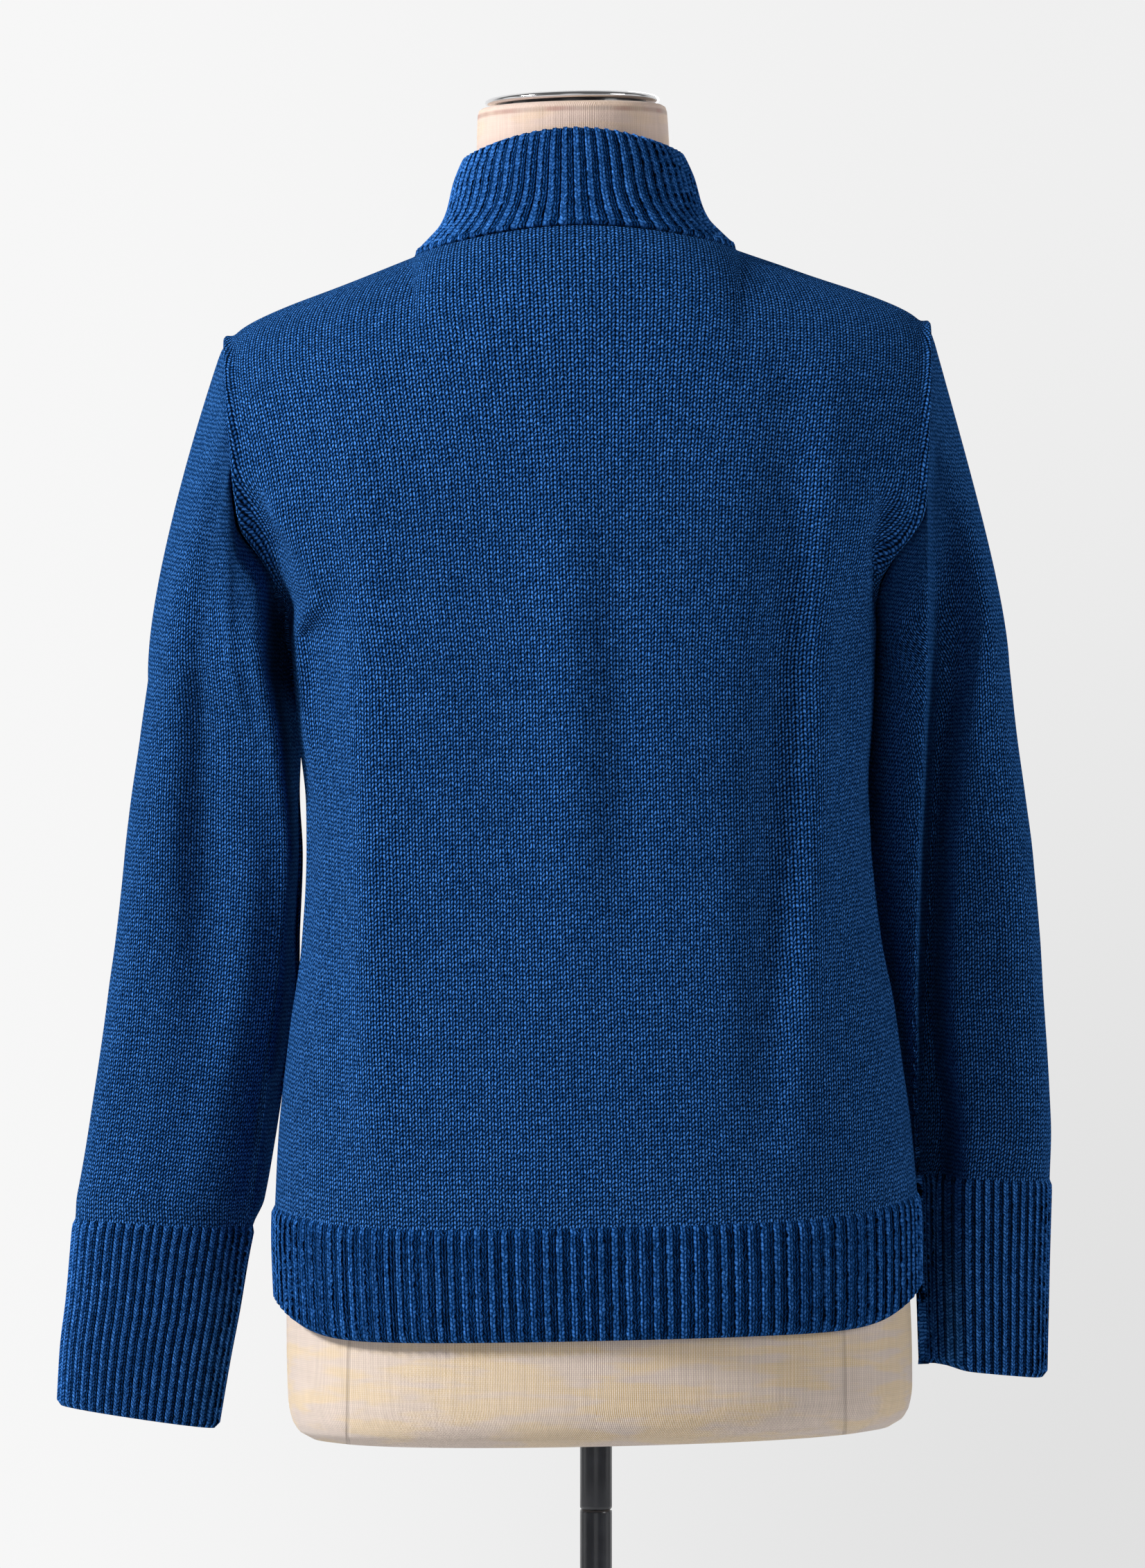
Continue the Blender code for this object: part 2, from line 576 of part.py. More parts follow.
def make_stand():
    black = surface("black_steel", (0.010, 0.012, 0.018), 0.25, 0.6)
    top = FORM_BOTTOM - 3 * GAP
    for name, radius, low, high in (("pole_lower", POLE_RADIUS, HUB_HEIGHT + GAP, POLE_JOINT),
                                    ("pole_upper", POLE_RADIUS - 0.0003, POLE_JOINT + GAP, top)):
        cylinder(name, radius, high - low, (0, 0, (low + high) / 2), black, 0.0004, 32, 1)

    edge = 0.002
    profile = ((0, HUB_HEIGHT), (HUB_RADIUS - edge, HUB_HEIGHT), (HUB_RADIUS, HUB_HEIGHT - edge),
               (HUB_RADIUS, BASE_THICK + 0.001), (BASE_RADIUS - 0.004, BASE_THICK),
               (BASE_RADIUS - 0.001, BASE_THICK - 0.001), (BASE_RADIUS, BASE_THICK - 0.004),
               (BASE_RADIUS, 0.001), (BASE_RADIUS - 0.001, 0), (0, 0))
    mesh = bpy.data.meshes.new("base_plate")
    mesh.from_pydata([(out, 0, up) for out, up in profile], [(k, k + 1) for k in range(len(profile) - 1)], [])
    base = make_object("base_plate", mesh, black)
    turn = base.modifiers.new("turned", "SCREW")
    turn.steps = turn.render_steps = 48
    turn.use_merge_vertices = True
    turn.merge_threshold = 0.0001


for old in list(bpy.data.objects):
    bpy.data.objects.remove(old, do_unlink=True)
parts = bpy.data.collections.new("cardigan_on_dress_form")
bpy.context.scene.collection.children.link(parts)
make_garment()
make_form()
make_stand()
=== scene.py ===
from math import atan2, cos, pi, radians, sin

import bmesh
import bpy
import numpy as np
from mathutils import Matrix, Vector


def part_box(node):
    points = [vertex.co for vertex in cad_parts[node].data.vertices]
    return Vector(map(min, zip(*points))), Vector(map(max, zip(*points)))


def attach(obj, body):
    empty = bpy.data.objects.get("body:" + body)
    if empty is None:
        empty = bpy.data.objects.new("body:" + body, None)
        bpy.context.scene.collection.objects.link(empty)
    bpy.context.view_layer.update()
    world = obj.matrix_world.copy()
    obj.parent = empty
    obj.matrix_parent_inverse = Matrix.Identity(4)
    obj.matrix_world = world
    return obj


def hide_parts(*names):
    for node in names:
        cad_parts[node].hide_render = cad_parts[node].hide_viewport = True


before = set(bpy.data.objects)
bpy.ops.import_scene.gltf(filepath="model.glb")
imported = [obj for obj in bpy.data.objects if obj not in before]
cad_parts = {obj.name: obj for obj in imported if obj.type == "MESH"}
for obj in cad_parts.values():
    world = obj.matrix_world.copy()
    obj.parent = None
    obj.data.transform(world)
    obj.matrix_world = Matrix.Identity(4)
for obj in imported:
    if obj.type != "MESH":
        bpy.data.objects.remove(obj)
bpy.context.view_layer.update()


# ---- Foot and pole
# A flat round steel plate with a raised hub carries a pole of two lengths, the upper one pressed on to
# the lower one. All of it is turned from steel and painted a smooth satin black.

def operator(operation):
    """A method that adds a Math node with this operation to its socket's material."""
    return lambda self, *others: self.maths(operation, self, *others)


class Value:
    """A socket in a material. Arithmetic on it adds Math nodes to the same material."""

    def __init__(self, finish, socket):
        self.finish, self.socket = finish, socket

    def maths(self, operation, *values):
        return self.finish.node("ShaderNodeMath", {"operation": operation}, dict(enumerate(values)))

    __add__ = __radd__ = operator("ADD")
    __mul__ = __rmul__ = operator("MULTIPLY")
    __sub__, __pow__, __abs__ = operator("SUBTRACT"), operator("POWER"), operator("ABSOLUTE")
    fraction, floor = operator("FRACT"), operator("FLOOR")
    most, above = operator("MAXIMUM"), operator("GREATER_THAN")

    def __rsub__(self, other):
        return self.maths("SUBTRACT", other, self)

    def root(self):
        return self.maths("SQRT", self.most(0))

    def ramp(self, low, high):
        """0 up to low, 1 from high on, and a smooth step between them."""
        return self.finish.node("ShaderNodeMapRange", {"interpolation_type": "SMOOTHSTEP"},
                                {"Value": self, "From Min": low, "From Max": high})


class Finish:
    """A material built round one Principled shader, whose fixed values are set on its own sockets."""

    def __init__(self, name, **fixed):
        self.material = bpy.data.materials.new(name)
        self.material.use_nodes = True
        self.tree = self.material.node_tree
        self.shader = self.tree.nodes["Principled BSDF"]
        for socket, value in fixed.items():
            self.shader.inputs[socket.replace("_", " ")].default_value = value

    def node(self, kind, settings=None, sockets=None, output=0):
        """Any node: its type, its settings, the values or links of its sockets, and the output wanted."""
        made = self.tree.nodes.new(kind)
        for key, value in (settings or {}).items():
            setattr(made, key, value)
        for key, value in (sockets or {}).items():
            self.join(made.inputs[key], value)
        return Value(self, made.outputs[output])

    def join(self, socket, value):
        if isinstance(value, Value):
            self.tree.links.new(value.socket, socket)
        else:
            socket.default_value = value

    def mix(self, share, first, second):
        """The first colour where share is 0, the second where it is 1."""
        colours = [(*c, 1) if isinstance(c, tuple) else c for c in (first, second)]
        return self.node("ShaderNodeMix", {"data_type": "RGBA"}, {0: share, 6: colours[0], 7: colours[1]}, 2)

    def tinted(self, colour, brightness):
        """A colour times a value."""
        return self.node("ShaderNodeVectorMath", {"operation": "SCALE"}, {0: colour, "Scale": brightness})

    def place(self):
        """Where the surface is, in metres."""
        return self.node("ShaderNodeTexCoord", output="Object")

    def axes(self, where, count=3):
        """The first coordinates of a place, as values."""
        return [self.node("ShaderNodeSeparateXYZ", {}, {0: where}, k) for k in range(count)]

    def noise(self, where, scale, detail=2.0, stretch=(1, 1, 1)):
        """Cloudy noise round 0.5 with `scale` blobs to a metre, stretched by axis."""
        spread = self.node("ShaderNodeVectorMath", {"operation": "MULTIPLY"}, {0: where, 1: stretch})
        return self.node("ShaderNodeTexNoise", {}, {"Vector": spread, "Scale": scale, "Detail": detail})

    def colour(self, value):
        self.join(self.shader.inputs["Base Color"], value)

    def rough(self, value):
        self.join(self.shader.inputs["Roughness"], value)

    def bump(self, height, distance, strength=1.0):
        """Relief: height 1 stands `distance` metres above height 0."""
        sockets = {"Height": height, "Distance": distance, "Strength": strength}
        self.join(self.shader.inputs["Normal"], self.node("ShaderNodeBump", {}, sockets))


class Sky(Finish):
    """The light that comes from all around, built in the same way on the world's Background shader."""

    def __init__(self, name):
        self.world = bpy.data.worlds.new(name)
        self.world.use_nodes = True
        self.tree = self.world.node_tree
        self.shader = self.tree.nodes["Background"]


def grid_of(*coordinates):
    """Coordinates in space, or on the cloth, as one grid of points."""
    return np.stack(np.broadcast_arrays(*coordinates), -1)


def mesh_from_grid(grid, ring, uv=None):
    """A mesh of quads on a grid of points, rows by columns. A ring also joins the last column to the first.

    uv gives each point's place on the cloth; a ring's has one column more than its points.
    """
    rows, columns = grid.shape[:2]
    number = np.arange(rows * columns).reshape(rows, columns)
    place = np.arange(rows * (columns + ring)).reshape(rows, -1)
    if ring:
        number = np.concatenate((number, number[:, :1]), 1)

    def corners(index):
        return np.stack((index[:-1, :-1], index[:-1, 1:], index[1:, 1:], index[1:, :-1]), -1).reshape(-1, 4)

    return grid.reshape(-1, 3), corners(number), None if uv is None else uv.reshape(-1, 2)[corners(place)]


def put(name, data):
    """An object with this mesh, camera or light, placed in the scene at the origin."""
    thing = bpy.data.objects.new(name, data)
    bpy.context.scene.collection.objects.link(thing)
    return thing


def add_piece(name, points, faces, uv, finish, slot, *nodes):
    """Puts a mesh in the scene at the origin; it rides on the stand and stands for the named solids."""
    mesh = bpy.data.meshes.new(name)
    mesh.vertices.add(len(points))
    mesh.vertices.foreach_set("co", np.ascontiguousarray(points, dtype=np.float32).ravel())
    mesh.loops.add(faces.size)
    mesh.loops.foreach_set("vertex_index", faces.astype(np.int32).ravel())
    mesh.polygons.add(len(faces))
    mesh.polygons.foreach_set("loop_start", np.arange(0, faces.size, 4, dtype=np.int32))
    mesh.update(calc_edges=True)
    if uv is not None:
        mesh.uv_layers.new(name="cloth").uv.foreach_set("vector", uv.astype(np.float32).ravel())
    mesh.materials.append(finish.material)
    piece = put(name, mesh)
    if uv is None:
        shell = bmesh.new()
        shell.from_mesh(mesh)
        bmesh.ops.remove_doubles(shell, verts=shell.verts, dist=1e-6)
        bmesh.ops.recalc_face_normals(shell, faces=shell.faces)
        shell.to_mesh(mesh)
        shell.free()
    mesh.shade_smooth()
    mesh.set_sharp_from_angle(angle=radians(50))
    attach(piece, "root")
    if nodes:
        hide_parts(*nodes)
    return piece


def turned(profile, sides=96):
    """A turned shape: each (radius, height) of the profile is carried round the Z axis."""
    radius, height = np.array(profile, dtype=float).T[..., None]
    angle = np.linspace(0, 2 * pi, sides, endpoint=False)[None]
    return grid_of(radius * np.cos(angle), radius * np.sin(angle), height)


black = Finish("satin_black_steel", IOR=1.5, Coat_Weight=0.35, Coat_Roughness=0.12)
grime = black.noise(black.place(), 90.0, 3.0)
black.colour(black.mix(grime.ramp(0.35, 0.75), (0.008, 0.010, 0.016), (0.016, 0.019, 0.027)))
black.rough(0.24 + 0.14 * grime)
black.bump(black.noise(black.place(), 900.0, 1.0), 0.00004)

PLATE = 0.008           # thickness of the plate
POLE, POLE_EDGE = 0.0095, 0.0006
(_, _, low), (out, _, top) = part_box("base_plate")
foot = turned([(0, top), (0.0120, top), (0.0125, top - 0.0008), (0.0205, top - 0.0010),
               (0.0232, top - 0.0022), (0.0240, top - 0.0050), (0.0240, PLATE + 0.0022),
               (0.0248, PLATE + 0.0008), (0.0270, PLATE + 0.0003), (0.05, PLATE), (0.10, PLATE),
               (out - 0.004, PLATE), (out - 0.0017, PLATE - 0.0006), (out - 0.0004, PLATE - 0.0020),
               (out, PLATE - 0.0040), (out - 0.0004, 0.0016), (out - 0.0016, 0.0004), (out - 0.003, low),
               (0, low)], 160)
add_piece("foot", *mesh_from_grid(foot, True), black, "black_steel", "base_plate")

for name in ("pole_lower", "pole_upper"):
    (_, _, low), (_, _, high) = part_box(name)
    rod = turned([(0, high), (POLE - POLE_EDGE, high), (POLE - 0.0001, high - POLE_EDGE),
                  (POLE, high - 0.002), (POLE, low + 0.002), (POLE - 0.0001, low + POLE_EDGE),
                  (POLE - POLE_EDGE, low), (0, low)], 48)
    add_piece(name + "_rod", *mesh_from_grid(rod, True), black, "black_steel", name)


# ---- Dress form
# A limbless torso of moulded shell, covered in natural linen sewn with a princess seam on each side, and
# a padded neck whose linen is turned in under the cap. It leans a little to the wearer's left.

LEAN, LEAN_HEIGHT = radians(1.25), 0.650
FORM_SQUARE = 2.15      # the power p of its rounded sections
THREAD = 0.00113        # from one linen thread to the next
PRINCESS_SEAM = 0.1445  # how far out each side's seam is at the hips
NECK_TURN_IN = 1.2905


def table(names, *rows):
    """A small table whose columns are read by name."""
    return dict(zip(names.split(), np.array(rows, dtype=float).T))


def along(rows, column, where):
    """A smooth curve through a table's column: cubics whose slope at each row is the harmonic mean of
    the slopes on both sides, or level where they turn."""
    place, value = rows[next(iter(rows))], rows[column]
    step = np.diff(place)
    slope = np.diff(value) / step
    same = slope[:-1] * slope[1:] > 0
    both = np.where(same, slope[:-1] + slope[1:], 1.0)
    tangent = np.concatenate((slope[:1], np.where(same, 2 * slope[:-1] * slope[1:] / both, 0), slope[-1:]))
    k = np.clip(np.searchsorted(place, where) - 1, 0, len(step) - 1)
    t = np.clip((where - place[k]) / step[k], 0, 1)
    return ((1 + 2 * t) * (1 - t) ** 2 * value[k] + t * (1 - t) ** 2 * step[k] * tangent[k]
            + t * t * (3 - 2 * t) * value[k + 1] - t * t * (1 - t) * step[k] * tangent[k + 1])


def lean(points):
    """Turns points about the Y direction, at the height where the form is carried."""
    x, y, z = np.moveaxis(points, -1, 0)
    up = z - LEAN_HEIGHT
    return grid_of(x * cos(LEAN) + up * sin(LEAN), y, LEAN_HEIGHT + up * cos(LEAN) - x * sin(LEAN))


FORM = table(
    "height half back front",
    (0.511, 0.162, 0.095, 0.095),
    (0.5125, 0.171, 0.103, 0.103),
    (0.5165, 0.178, 0.1095, 0.1095),
    (0.524, 0.1825, 0.114, 0.114),
    (0.536, 0.1845, 0.116, 0.116),
    (0.56, 0.1848, 0.1165, 0.1165),
    (0.6, 0.184, 0.1165, 0.1165),
    (0.65, 0.1825, 0.1155, 0.116),
    (0.7, 0.177, 0.1115, 0.114),
    (0.76, 0.162, 0.105, 0.11),
    (0.82, 0.146, 0.098, 0.104),
    (0.88, 0.137, 0.095, 0.102),
    (0.94, 0.146, 0.1, 0.11),
    (1, 0.156, 0.106, 0.118),
    (1.05, 0.166, 0.107, 0.112),
    (1.1, 0.174, 0.1, 0.098),
    (1.13, 0.174, 0.088, 0.084),
    (1.15, 0.168, 0.076, 0.073),
    (1.168, 0.156, 0.06, 0.058),
    (1.18, 0.138, 0.054, 0.053),
    (1.193, 0.112, 0.054, 0.053),
    (1.206, 0.084, 0.0545, 0.0535),
    (1.22, 0.067, 0.0545, 0.0545),
    (1.245, 0.058, 0.0545, 0.0545),
    (1.2915, 0.056, 0.055, 0.055),
    (1.294, 0.0552, 0.0542, 0.0542),
    (1.295, 0.0535, 0.0525, 0.0525))


def form_ring(height, angle):
    """The form's section: a rounded ellipse |x/half|^p + |y/deep|^p = 1, as deep behind and before as the
    table says."""
    power = 2 / FORM_SQUARE
    across = np.sign(np.cos(angle)) * np.abs(np.cos(angle)) ** power
    deep = np.where(np.sin(angle) > 0, along(FORM, "back", height), along(FORM, "front", height))
    y = deep * np.sign(np.sin(angle)) * np.abs(np.sin(angle)) ** power
    return grid_of(along(FORM, "half", height) * across, y, height)


form_height = np.concatenate((FORM["height"][:3], np.linspace(0.5185, 1.2915, 190), FORM["height"][-2:]))
form_grid = form_ring(form_height[:, None], np.linspace(0, 2 * pi, 181)[None])
ends = [np.broadcast_to(form_grid[k, :1] * (0, 0, 1), form_grid[k].shape) for k in (0, -1)]
form_grid = lean(np.concatenate((ends[0][None], form_grid, ends[1][None])))

linen = Finish("natural_linen", IOR=1.45, Sheen_Weight=0.20, Sheen_Roughness=0.5)
at = linen.place()
x, y, z = linen.axes(at)
wander = linen.noise(at, 60.0, 3.0, (1, 1, 0.15)) - 0.5
slubs = linen.noise(at, 420.0, 2.0, (1.0, 1.0, 0.06))
picks = linen.noise(at, 420.0, 2.0, (0.06, 0.06, 1.0))
warp_at = (abs(x) - abs(y)) * (1 / THREAD) + 0.9 * wander
weft_at = z * (1 / THREAD) + 1.2 * (linen.noise(at, 60.0, 3.0, (0.15, 0.15, 1)) - 0.5)
warp = 1 - abs(warp_at.fraction() * 2 - 1)
weft = 1 - abs(weft_at.fraction() * 2 - 1)
over = ((warp_at.floor() + weft_at.floor()) * 0.5).fraction().above(0.25)
thread = (0.62 + 0.38 * over) * warp + (1 - over) * weft * 0.25
zone = linen.noise(at, 20.0, 3.0, (1, 1, 5.0))
cloud = linen.noise(at, 9.0, 2.0)
raw = linen.mix(zone.ramp(0.42, 0.58), (0.520, 0.330, 0.110), (0.420, 0.310, 0.290))
# Painted light and shade of the weave: threads lighter on their crowns, darker at their sides and between
# them, and the warp darker where it passes under the weft.
raw = linen.mix(thread.ramp(0.15, 0.80), raw, (0.880, 0.770, 0.650))
raw = linen.mix(cloud.ramp(0.40, 0.70) * 0.35, raw, (0.740, 0.600, 0.470))
raw = linen.mix(z.ramp(1.2150, 1.2250) * 0.6, raw, (0.700, 0.510, 0.430))
worn = 0.96 + 0.24 * (slubs - 0.5) + 0.16 * (picks - 0.5)
seam_off = abs(abs(x) - PRINCESS_SEAM + (z - 0.53) * 0.02)
sewn = 1 - seam_off.ramp(0.0004, 0.0016)
turn_in = 1 - abs(z - NECK_TURN_IN + 0.0218 * x).ramp(0.0004, 0.0022)
red = turn_in * linen.noise(at, 45.0, 2.0).ramp(0.35, 0.65)
shade = linen.tinted(raw, worn * (1 - 0.22 * sewn) * (1 - 0.25 * turn_in))
linen.colour(linen.mix(red * 0.42, shade, (0.36, 0.13, 0.11)))
linen.rough(0.86 - 0.1 * thread)
linen.bump(thread * 0.5 + slubs * 0.6 - sewn * 2.2, 0.0004, 0.75)
add_piece("linen_torso", *mesh_from_grid(form_grid[:, :-1], True), linen, "linen", "linen_form")


# ---- Neck cap
# A thin chromed disc with a rolled rim, which closes the top of the neck. It is set on a small black washer
# that holds it clear of the linen.

chrome = Finish("bright_chrome", Metallic=1.0)
chrome.colour((0.72, 0.72, 0.73, 1))
chrome.rough(0.06 + 0.10 * chrome.noise(chrome.place(), 300.0, 3.0))
CAP, CAP_LOW = 0.0516, 1.2953
WASHER, WASHER_TOP = 0.0440, 0.0017
disc = turned([(0, 0.0066), (0.030, 0.0065), (CAP - 0.004, 0.0060), (CAP - 0.0016, 0.0054),
               (CAP - 0.0004, 0.0046), (CAP, 0.0036), (CAP - 0.0004, 0.0026), (CAP - 0.0016, 0.0020),
               (CAP - 0.004, 0.0018), (0, 0.0018)], 160)
washer = turned([(0, WASHER_TOP), (WASHER, WASHER_TOP), (WASHER, 0), (0, 0)])
disc, washer = lean(disc + (0, 0, CAP_LOW)), lean(washer + (0, 0, CAP_LOW))
add_piece("neck_disc", *mesh_from_grid(disc, True), chrome, "chrome", "neck_cap")
add_piece("neck_washer", *mesh_from_grid(washer, True), black, "black_steel")


# ---- Back of the cardigan
# One panel of plain knit from the ribbed hem to the shoulder and neck seams, in a soft matt yarn. Its wales
# run upright and spread towards the shoulders, and long soft folds run down it.

UNDERARM, SEAM_Y = 0.985, -0.005
NECK_HALF, NECK_BACK, NECK_FRONT = 0.095, 0.075, 0.083
NECK_HEIGHT, NECK_RISE, NECK_DROP = 1.2095, 0.0121, 0.0545
SHOULDER_SQUARE = 2.4
HEM_BOTTOM, HEM_LIFT, HEM_TOP = 0.5738, 0.0217, 0.6395
HEM_RISE = 0.011        # how much higher the ribbing's upper edge is at the side seams
KNIT = 0.0026           # thickness of the plain knit
COURSE = 0.00262        # height of one row of stitches
RISES = 1 - (1 - np.linspace(0, 1, 74)) ** 1.5

BODY = table(
    "height half back front square",
    (0.573, 0.1885, 0.1215, 0.1215, 2.3),
    (0.592, 0.19, 0.124, 0.124, 2.3),
    (0.63, 0.1907, 0.1245, 0.1245, 2.3),
    (0.662, 0.189, 0.123, 0.124, 2.3),
    (0.695, 0.1865, 0.1205, 0.1235, 2.3),
    (0.727, 0.1825, 0.118, 0.123, 2.35),
    (0.76, 0.1775, 0.115, 0.1225, 2.4),
    (0.8, 0.17, 0.1115, 0.1225, 2.45),
    (0.857, 0.1652, 0.1095, 0.125, 2.5),
    (0.884, 0.1648, 0.1105, 0.127, 2.5),
    (0.934, 0.17, 0.114, 0.13, 2.45),
    (0.985, 0.1735, 0.117, 0.128, 2.4))
UPPER = table(
    "rise half back_edge front_edge back_middle front_middle turn",
    (0, 0.1735, 0, 0, 0.117, -0.128, 2.4),
    (0.09, 0.1722, 0.03, -0.03, 0.1175, -0.127, 1.9),
    (0.21, 0.1814, 0.05, -0.05, 0.118, -0.125, 1.4),
    (0.38, 0.201, 0.064, -0.066, 0.1175, -0.122, 1.1),
    (0.7, 0.2055, 0.056, -0.06, 0.111, -0.113, 1),
    (0.87, 0.2075, 0.034, -0.038, 0.0945, -0.102, 1),
    (0.95, 0.2086, 0.015, -0.021, 0.082, -0.0945, 1),
    (1, 0.2093, -0.005, -0.005, 0.07, -0.088, 1))
SHOULDER = table(
    "out height",
    (0.095, 1.2095),
    (0.133, 1.1955),
    (0.181, 1.1785),
    (0.198, 1.1705),
    (0.2093, 1.161))
# How wide a wale is at each height, in millimetres: it spreads over the shoulders.
WALE = table(
    "height wide",
    (0.57, 3.62),
    (0.95, 3.62),
    (1.01, 3.8),
    (1.07, 3.94),
    (1.113, 4.14),
    (1.154, 4.39),
    (1.183, 4.55),
    (1.225, 4.65))


def unit(value):
    """A value held between 0 and 1."""
    return np.clip(value, 0, 1)


def bell(off, wide):
    """exp(-(off / wide)^2): 1 at the middle, and fading away on both sides."""
    return np.exp(-(off / wide) ** 2)


def neck_seam(angle):
    """The neck seam by angle from the middle of the back (0) over the side (90) to the front (180): an
    ellipse whose height rises behind and falls before with the square of the cosine."""
    ahead = np.cos(angle) < 0
    y = SEAM_Y + np.where(ahead, NECK_FRONT, NECK_BACK) * np.cos(angle)
    z = NECK_HEIGHT + np.where(ahead, -NECK_DROP, NECK_RISE) * np.cos(angle) ** 2
    return grid_of(NECK_HALF * np.sin(angle), y, z)


def round_off(share, square, turn):
    """How deep a rounded section still is at a share of its half width: (1 - share^square)^(1/turn)."""
    return (1 - unit(np.abs(share)) ** square) ** (1 / turn)


def lower_body(x, height, ahead):
    """The body up to the underarm: a rounded section from the table at each height."""
    deep = -along(BODY, "front", height) if ahead else along(BODY, "back", height)
    square = along(BODY, "square", height)
    y = deep * round_off(x / along(BODY, "half", height), square, square)
    return grid_of(x, y, height)


def upper_body(x, last_x, rise, ahead):
    """The body from the underarm to the shoulder: the table's section at each rise, bent on to the neck
    and shoulder seams by 1 - sqrt(1 - rise^6), so that the cloth turns over the shoulder."""
    face = "front" if ahead else "back"
    edge, middle = along(UPPER, face + "_edge", rise), along(UPPER, face + "_middle", rise)
    share, turn = x / along(UPPER, "half", rise), along(UPPER, "turn", rise)
    y = edge + (middle - edge) * round_off(share, SHOULDER_SQUARE, turn)
    last = UPPER[face + "_middle"][-1]
    last_y = SEAM_Y + (last - SEAM_Y) * round_off(last_x / UPPER["half"][-1], SHOULDER_SQUARE, 1)
    inside = np.arcsin(unit(np.abs(last_x) / NECK_HALF))
    neck = neck_seam(pi - inside if ahead else inside)
    on_neck = np.abs(last_x) < NECK_HALF
    top_y = np.where(on_neck, neck[..., 1], SEAM_Y)
    top_z = np.where(on_neck, neck[..., 2], along(SHOULDER, "height", np.abs(last_x)))
    bent = 1 - np.sqrt(1 - rise ** 6)
    z = UNDERARM + (top_z - UNDERARM) * rise
    return grid_of(x, y + (top_y - last_y) * bent, z)


def hem_out(inner, share):
    """How far out a share of the panel's width is, as a share of the hips' half width."""
    return (inner + (BODY["half"].max() - inner) * share) / BODY["half"].max()


def half_panel(ahead, inner, columns=84):
    """Half a panel, rows from the top of the hem's ribbing to the shoulder, columns from x = inner to the
    side. The columns close up towards the side as a sine does."""
    share = np.sin(np.linspace(0, pi / 2, columns)) ** 0.9
    start, top = UPPER["half"][-1], BODY["half"].max()
    bottom = HEM_TOP + HEM_RISE * hem_out(inner, share) ** 6
    height = bottom + (UNDERARM - bottom) * np.linspace(0, 1, 124)[:-1, None]
    low = lower_body(inner + (along(BODY, "half", height) - inner) * share, height, ahead)
    rise = RISES[:, None] + 0 * share
    x = inner + (along(UPPER, "half", rise) - inner) * share
    return np.concatenate((low, upper_body(x, inner + (start - inner) * share, rise, ahead)))


def mirrored(grid):
    """The same half on the other side of the body."""
    return grid[:, ::-1] * (-1, 1, 1)


def joined(right, left):
    """Both halves as one grid; they share the middle column."""
    return np.concatenate((right[:, :-1], left), 1)


def outward(grid, ring):
    """Unit normals of a grid, from the cross product of its two directions, pointing away from each row's
    middle."""
    wide = np.concatenate((grid[:, -1:], grid, grid[:, :1]), 1) if ring else grid
    across = np.gradient(wide, axis=1)
    across = across[:, 1:-1] if ring else across
    normal = np.cross(across, np.gradient(grid, axis=0))
    normal /= np.maximum(np.linalg.norm(normal, axis=-1, keepdims=True), 1e-12)
    return normal * np.sign(np.sum(normal * (grid - grid.mean(1, keepdims=True))))


def folded(across, up, folds):
    """How far cloth lies in or out, in metres. Each fold is a long bell: out (or, if negative, in) by its
    depth along the line across = at + slant * (up - middle), as wide as said, fading at its reach up and
    down."""
    depth, at, slant, wide, middle, reach = folds.values()
    far = up[..., None] - middle
    off = (across[..., None] - at - slant * far) / wide
    return np.sum(depth * np.exp(-off ** 2 - np.abs(far / reach) ** 3), -1)


def run(grid, axis, start=0):
    """Length along the grid's rows (1) or columns (0), from the given one, in metres."""
    step = np.linalg.norm(np.diff(grid, axis=axis), axis=-1)
    total = np.concatenate((np.zeros_like(np.take(step, [0], axis)), np.cumsum(step, axis)), axis)
    return total - np.take(total, [start], axis)


def knitted(name, grid, fold, raised, thick, ring, uv, finish, slot, node):
    """A closed wall of cloth: its outer face is the grid moved out by the fold and by how far its stitches
    are raised. Its inner face lies the thickness further in, with the raised part a third as high."""
    normal = outward(grid, ring)
    outer = grid + normal * (fold + raised)[..., None]
    inner = grid + normal * (fold + raised / 3 - thick)[..., None]
    points, faces, places = mesh_from_grid(lean(outer), ring, uv)
    rows, columns = grid.shape[:2]
    number = np.arange(rows * columns).reshape(rows, columns)
    if ring:
        number = np.concatenate((number, number[:, :1]), 1)

    def borders(part):
        """Both ends of a tube, or the outline of a panel."""
        if ring:
            return part[0], part[-1][::-1]
        return (np.concatenate((part[0], part[1:, -1], part[-1, -2::-1], part[-2::-1, 0])),)

    inside = rows * columns
    rims = [np.stack((edge[1:], edge[:-1], edge[:-1] + inside, edge[1:] + inside), -1)
            for edge in borders(number)]
    rim_uv = [np.stack((place[1:], place[:-1], place[:-1], place[1:]), 1) for place in borders(uv)]
    faces = np.concatenate([faces, faces[:, ::-1] + inside] + rims)
    places = np.concatenate([places, places[:, ::-1]] + rim_uv)
    across, up = grid[0, 1] - grid[0, 0], grid[1, 0] - grid[0, 0]
    if np.dot(np.cross(across, up), normal[0, 0]) < 0:
        faces, places = faces[:, ::-1], places[:, ::-1]
    points = np.concatenate((points, lean(inner).reshape(-1, 3)))
    return add_piece(name, points, faces, places, finish, slot, node)


# The yarn's own blue, then the colours of the painted highlight on its crowns and of the painted shade
# between strands and in the pits.
BLUE = (0.0050, 0.0420, 0.1620)
PAINTED_HIGHLIGHT_BLUE = (0.0560, 0.2150, 0.6200)
PAINTED_SHADE_BLUE = (0.0003, 0.0012, 0.0050)


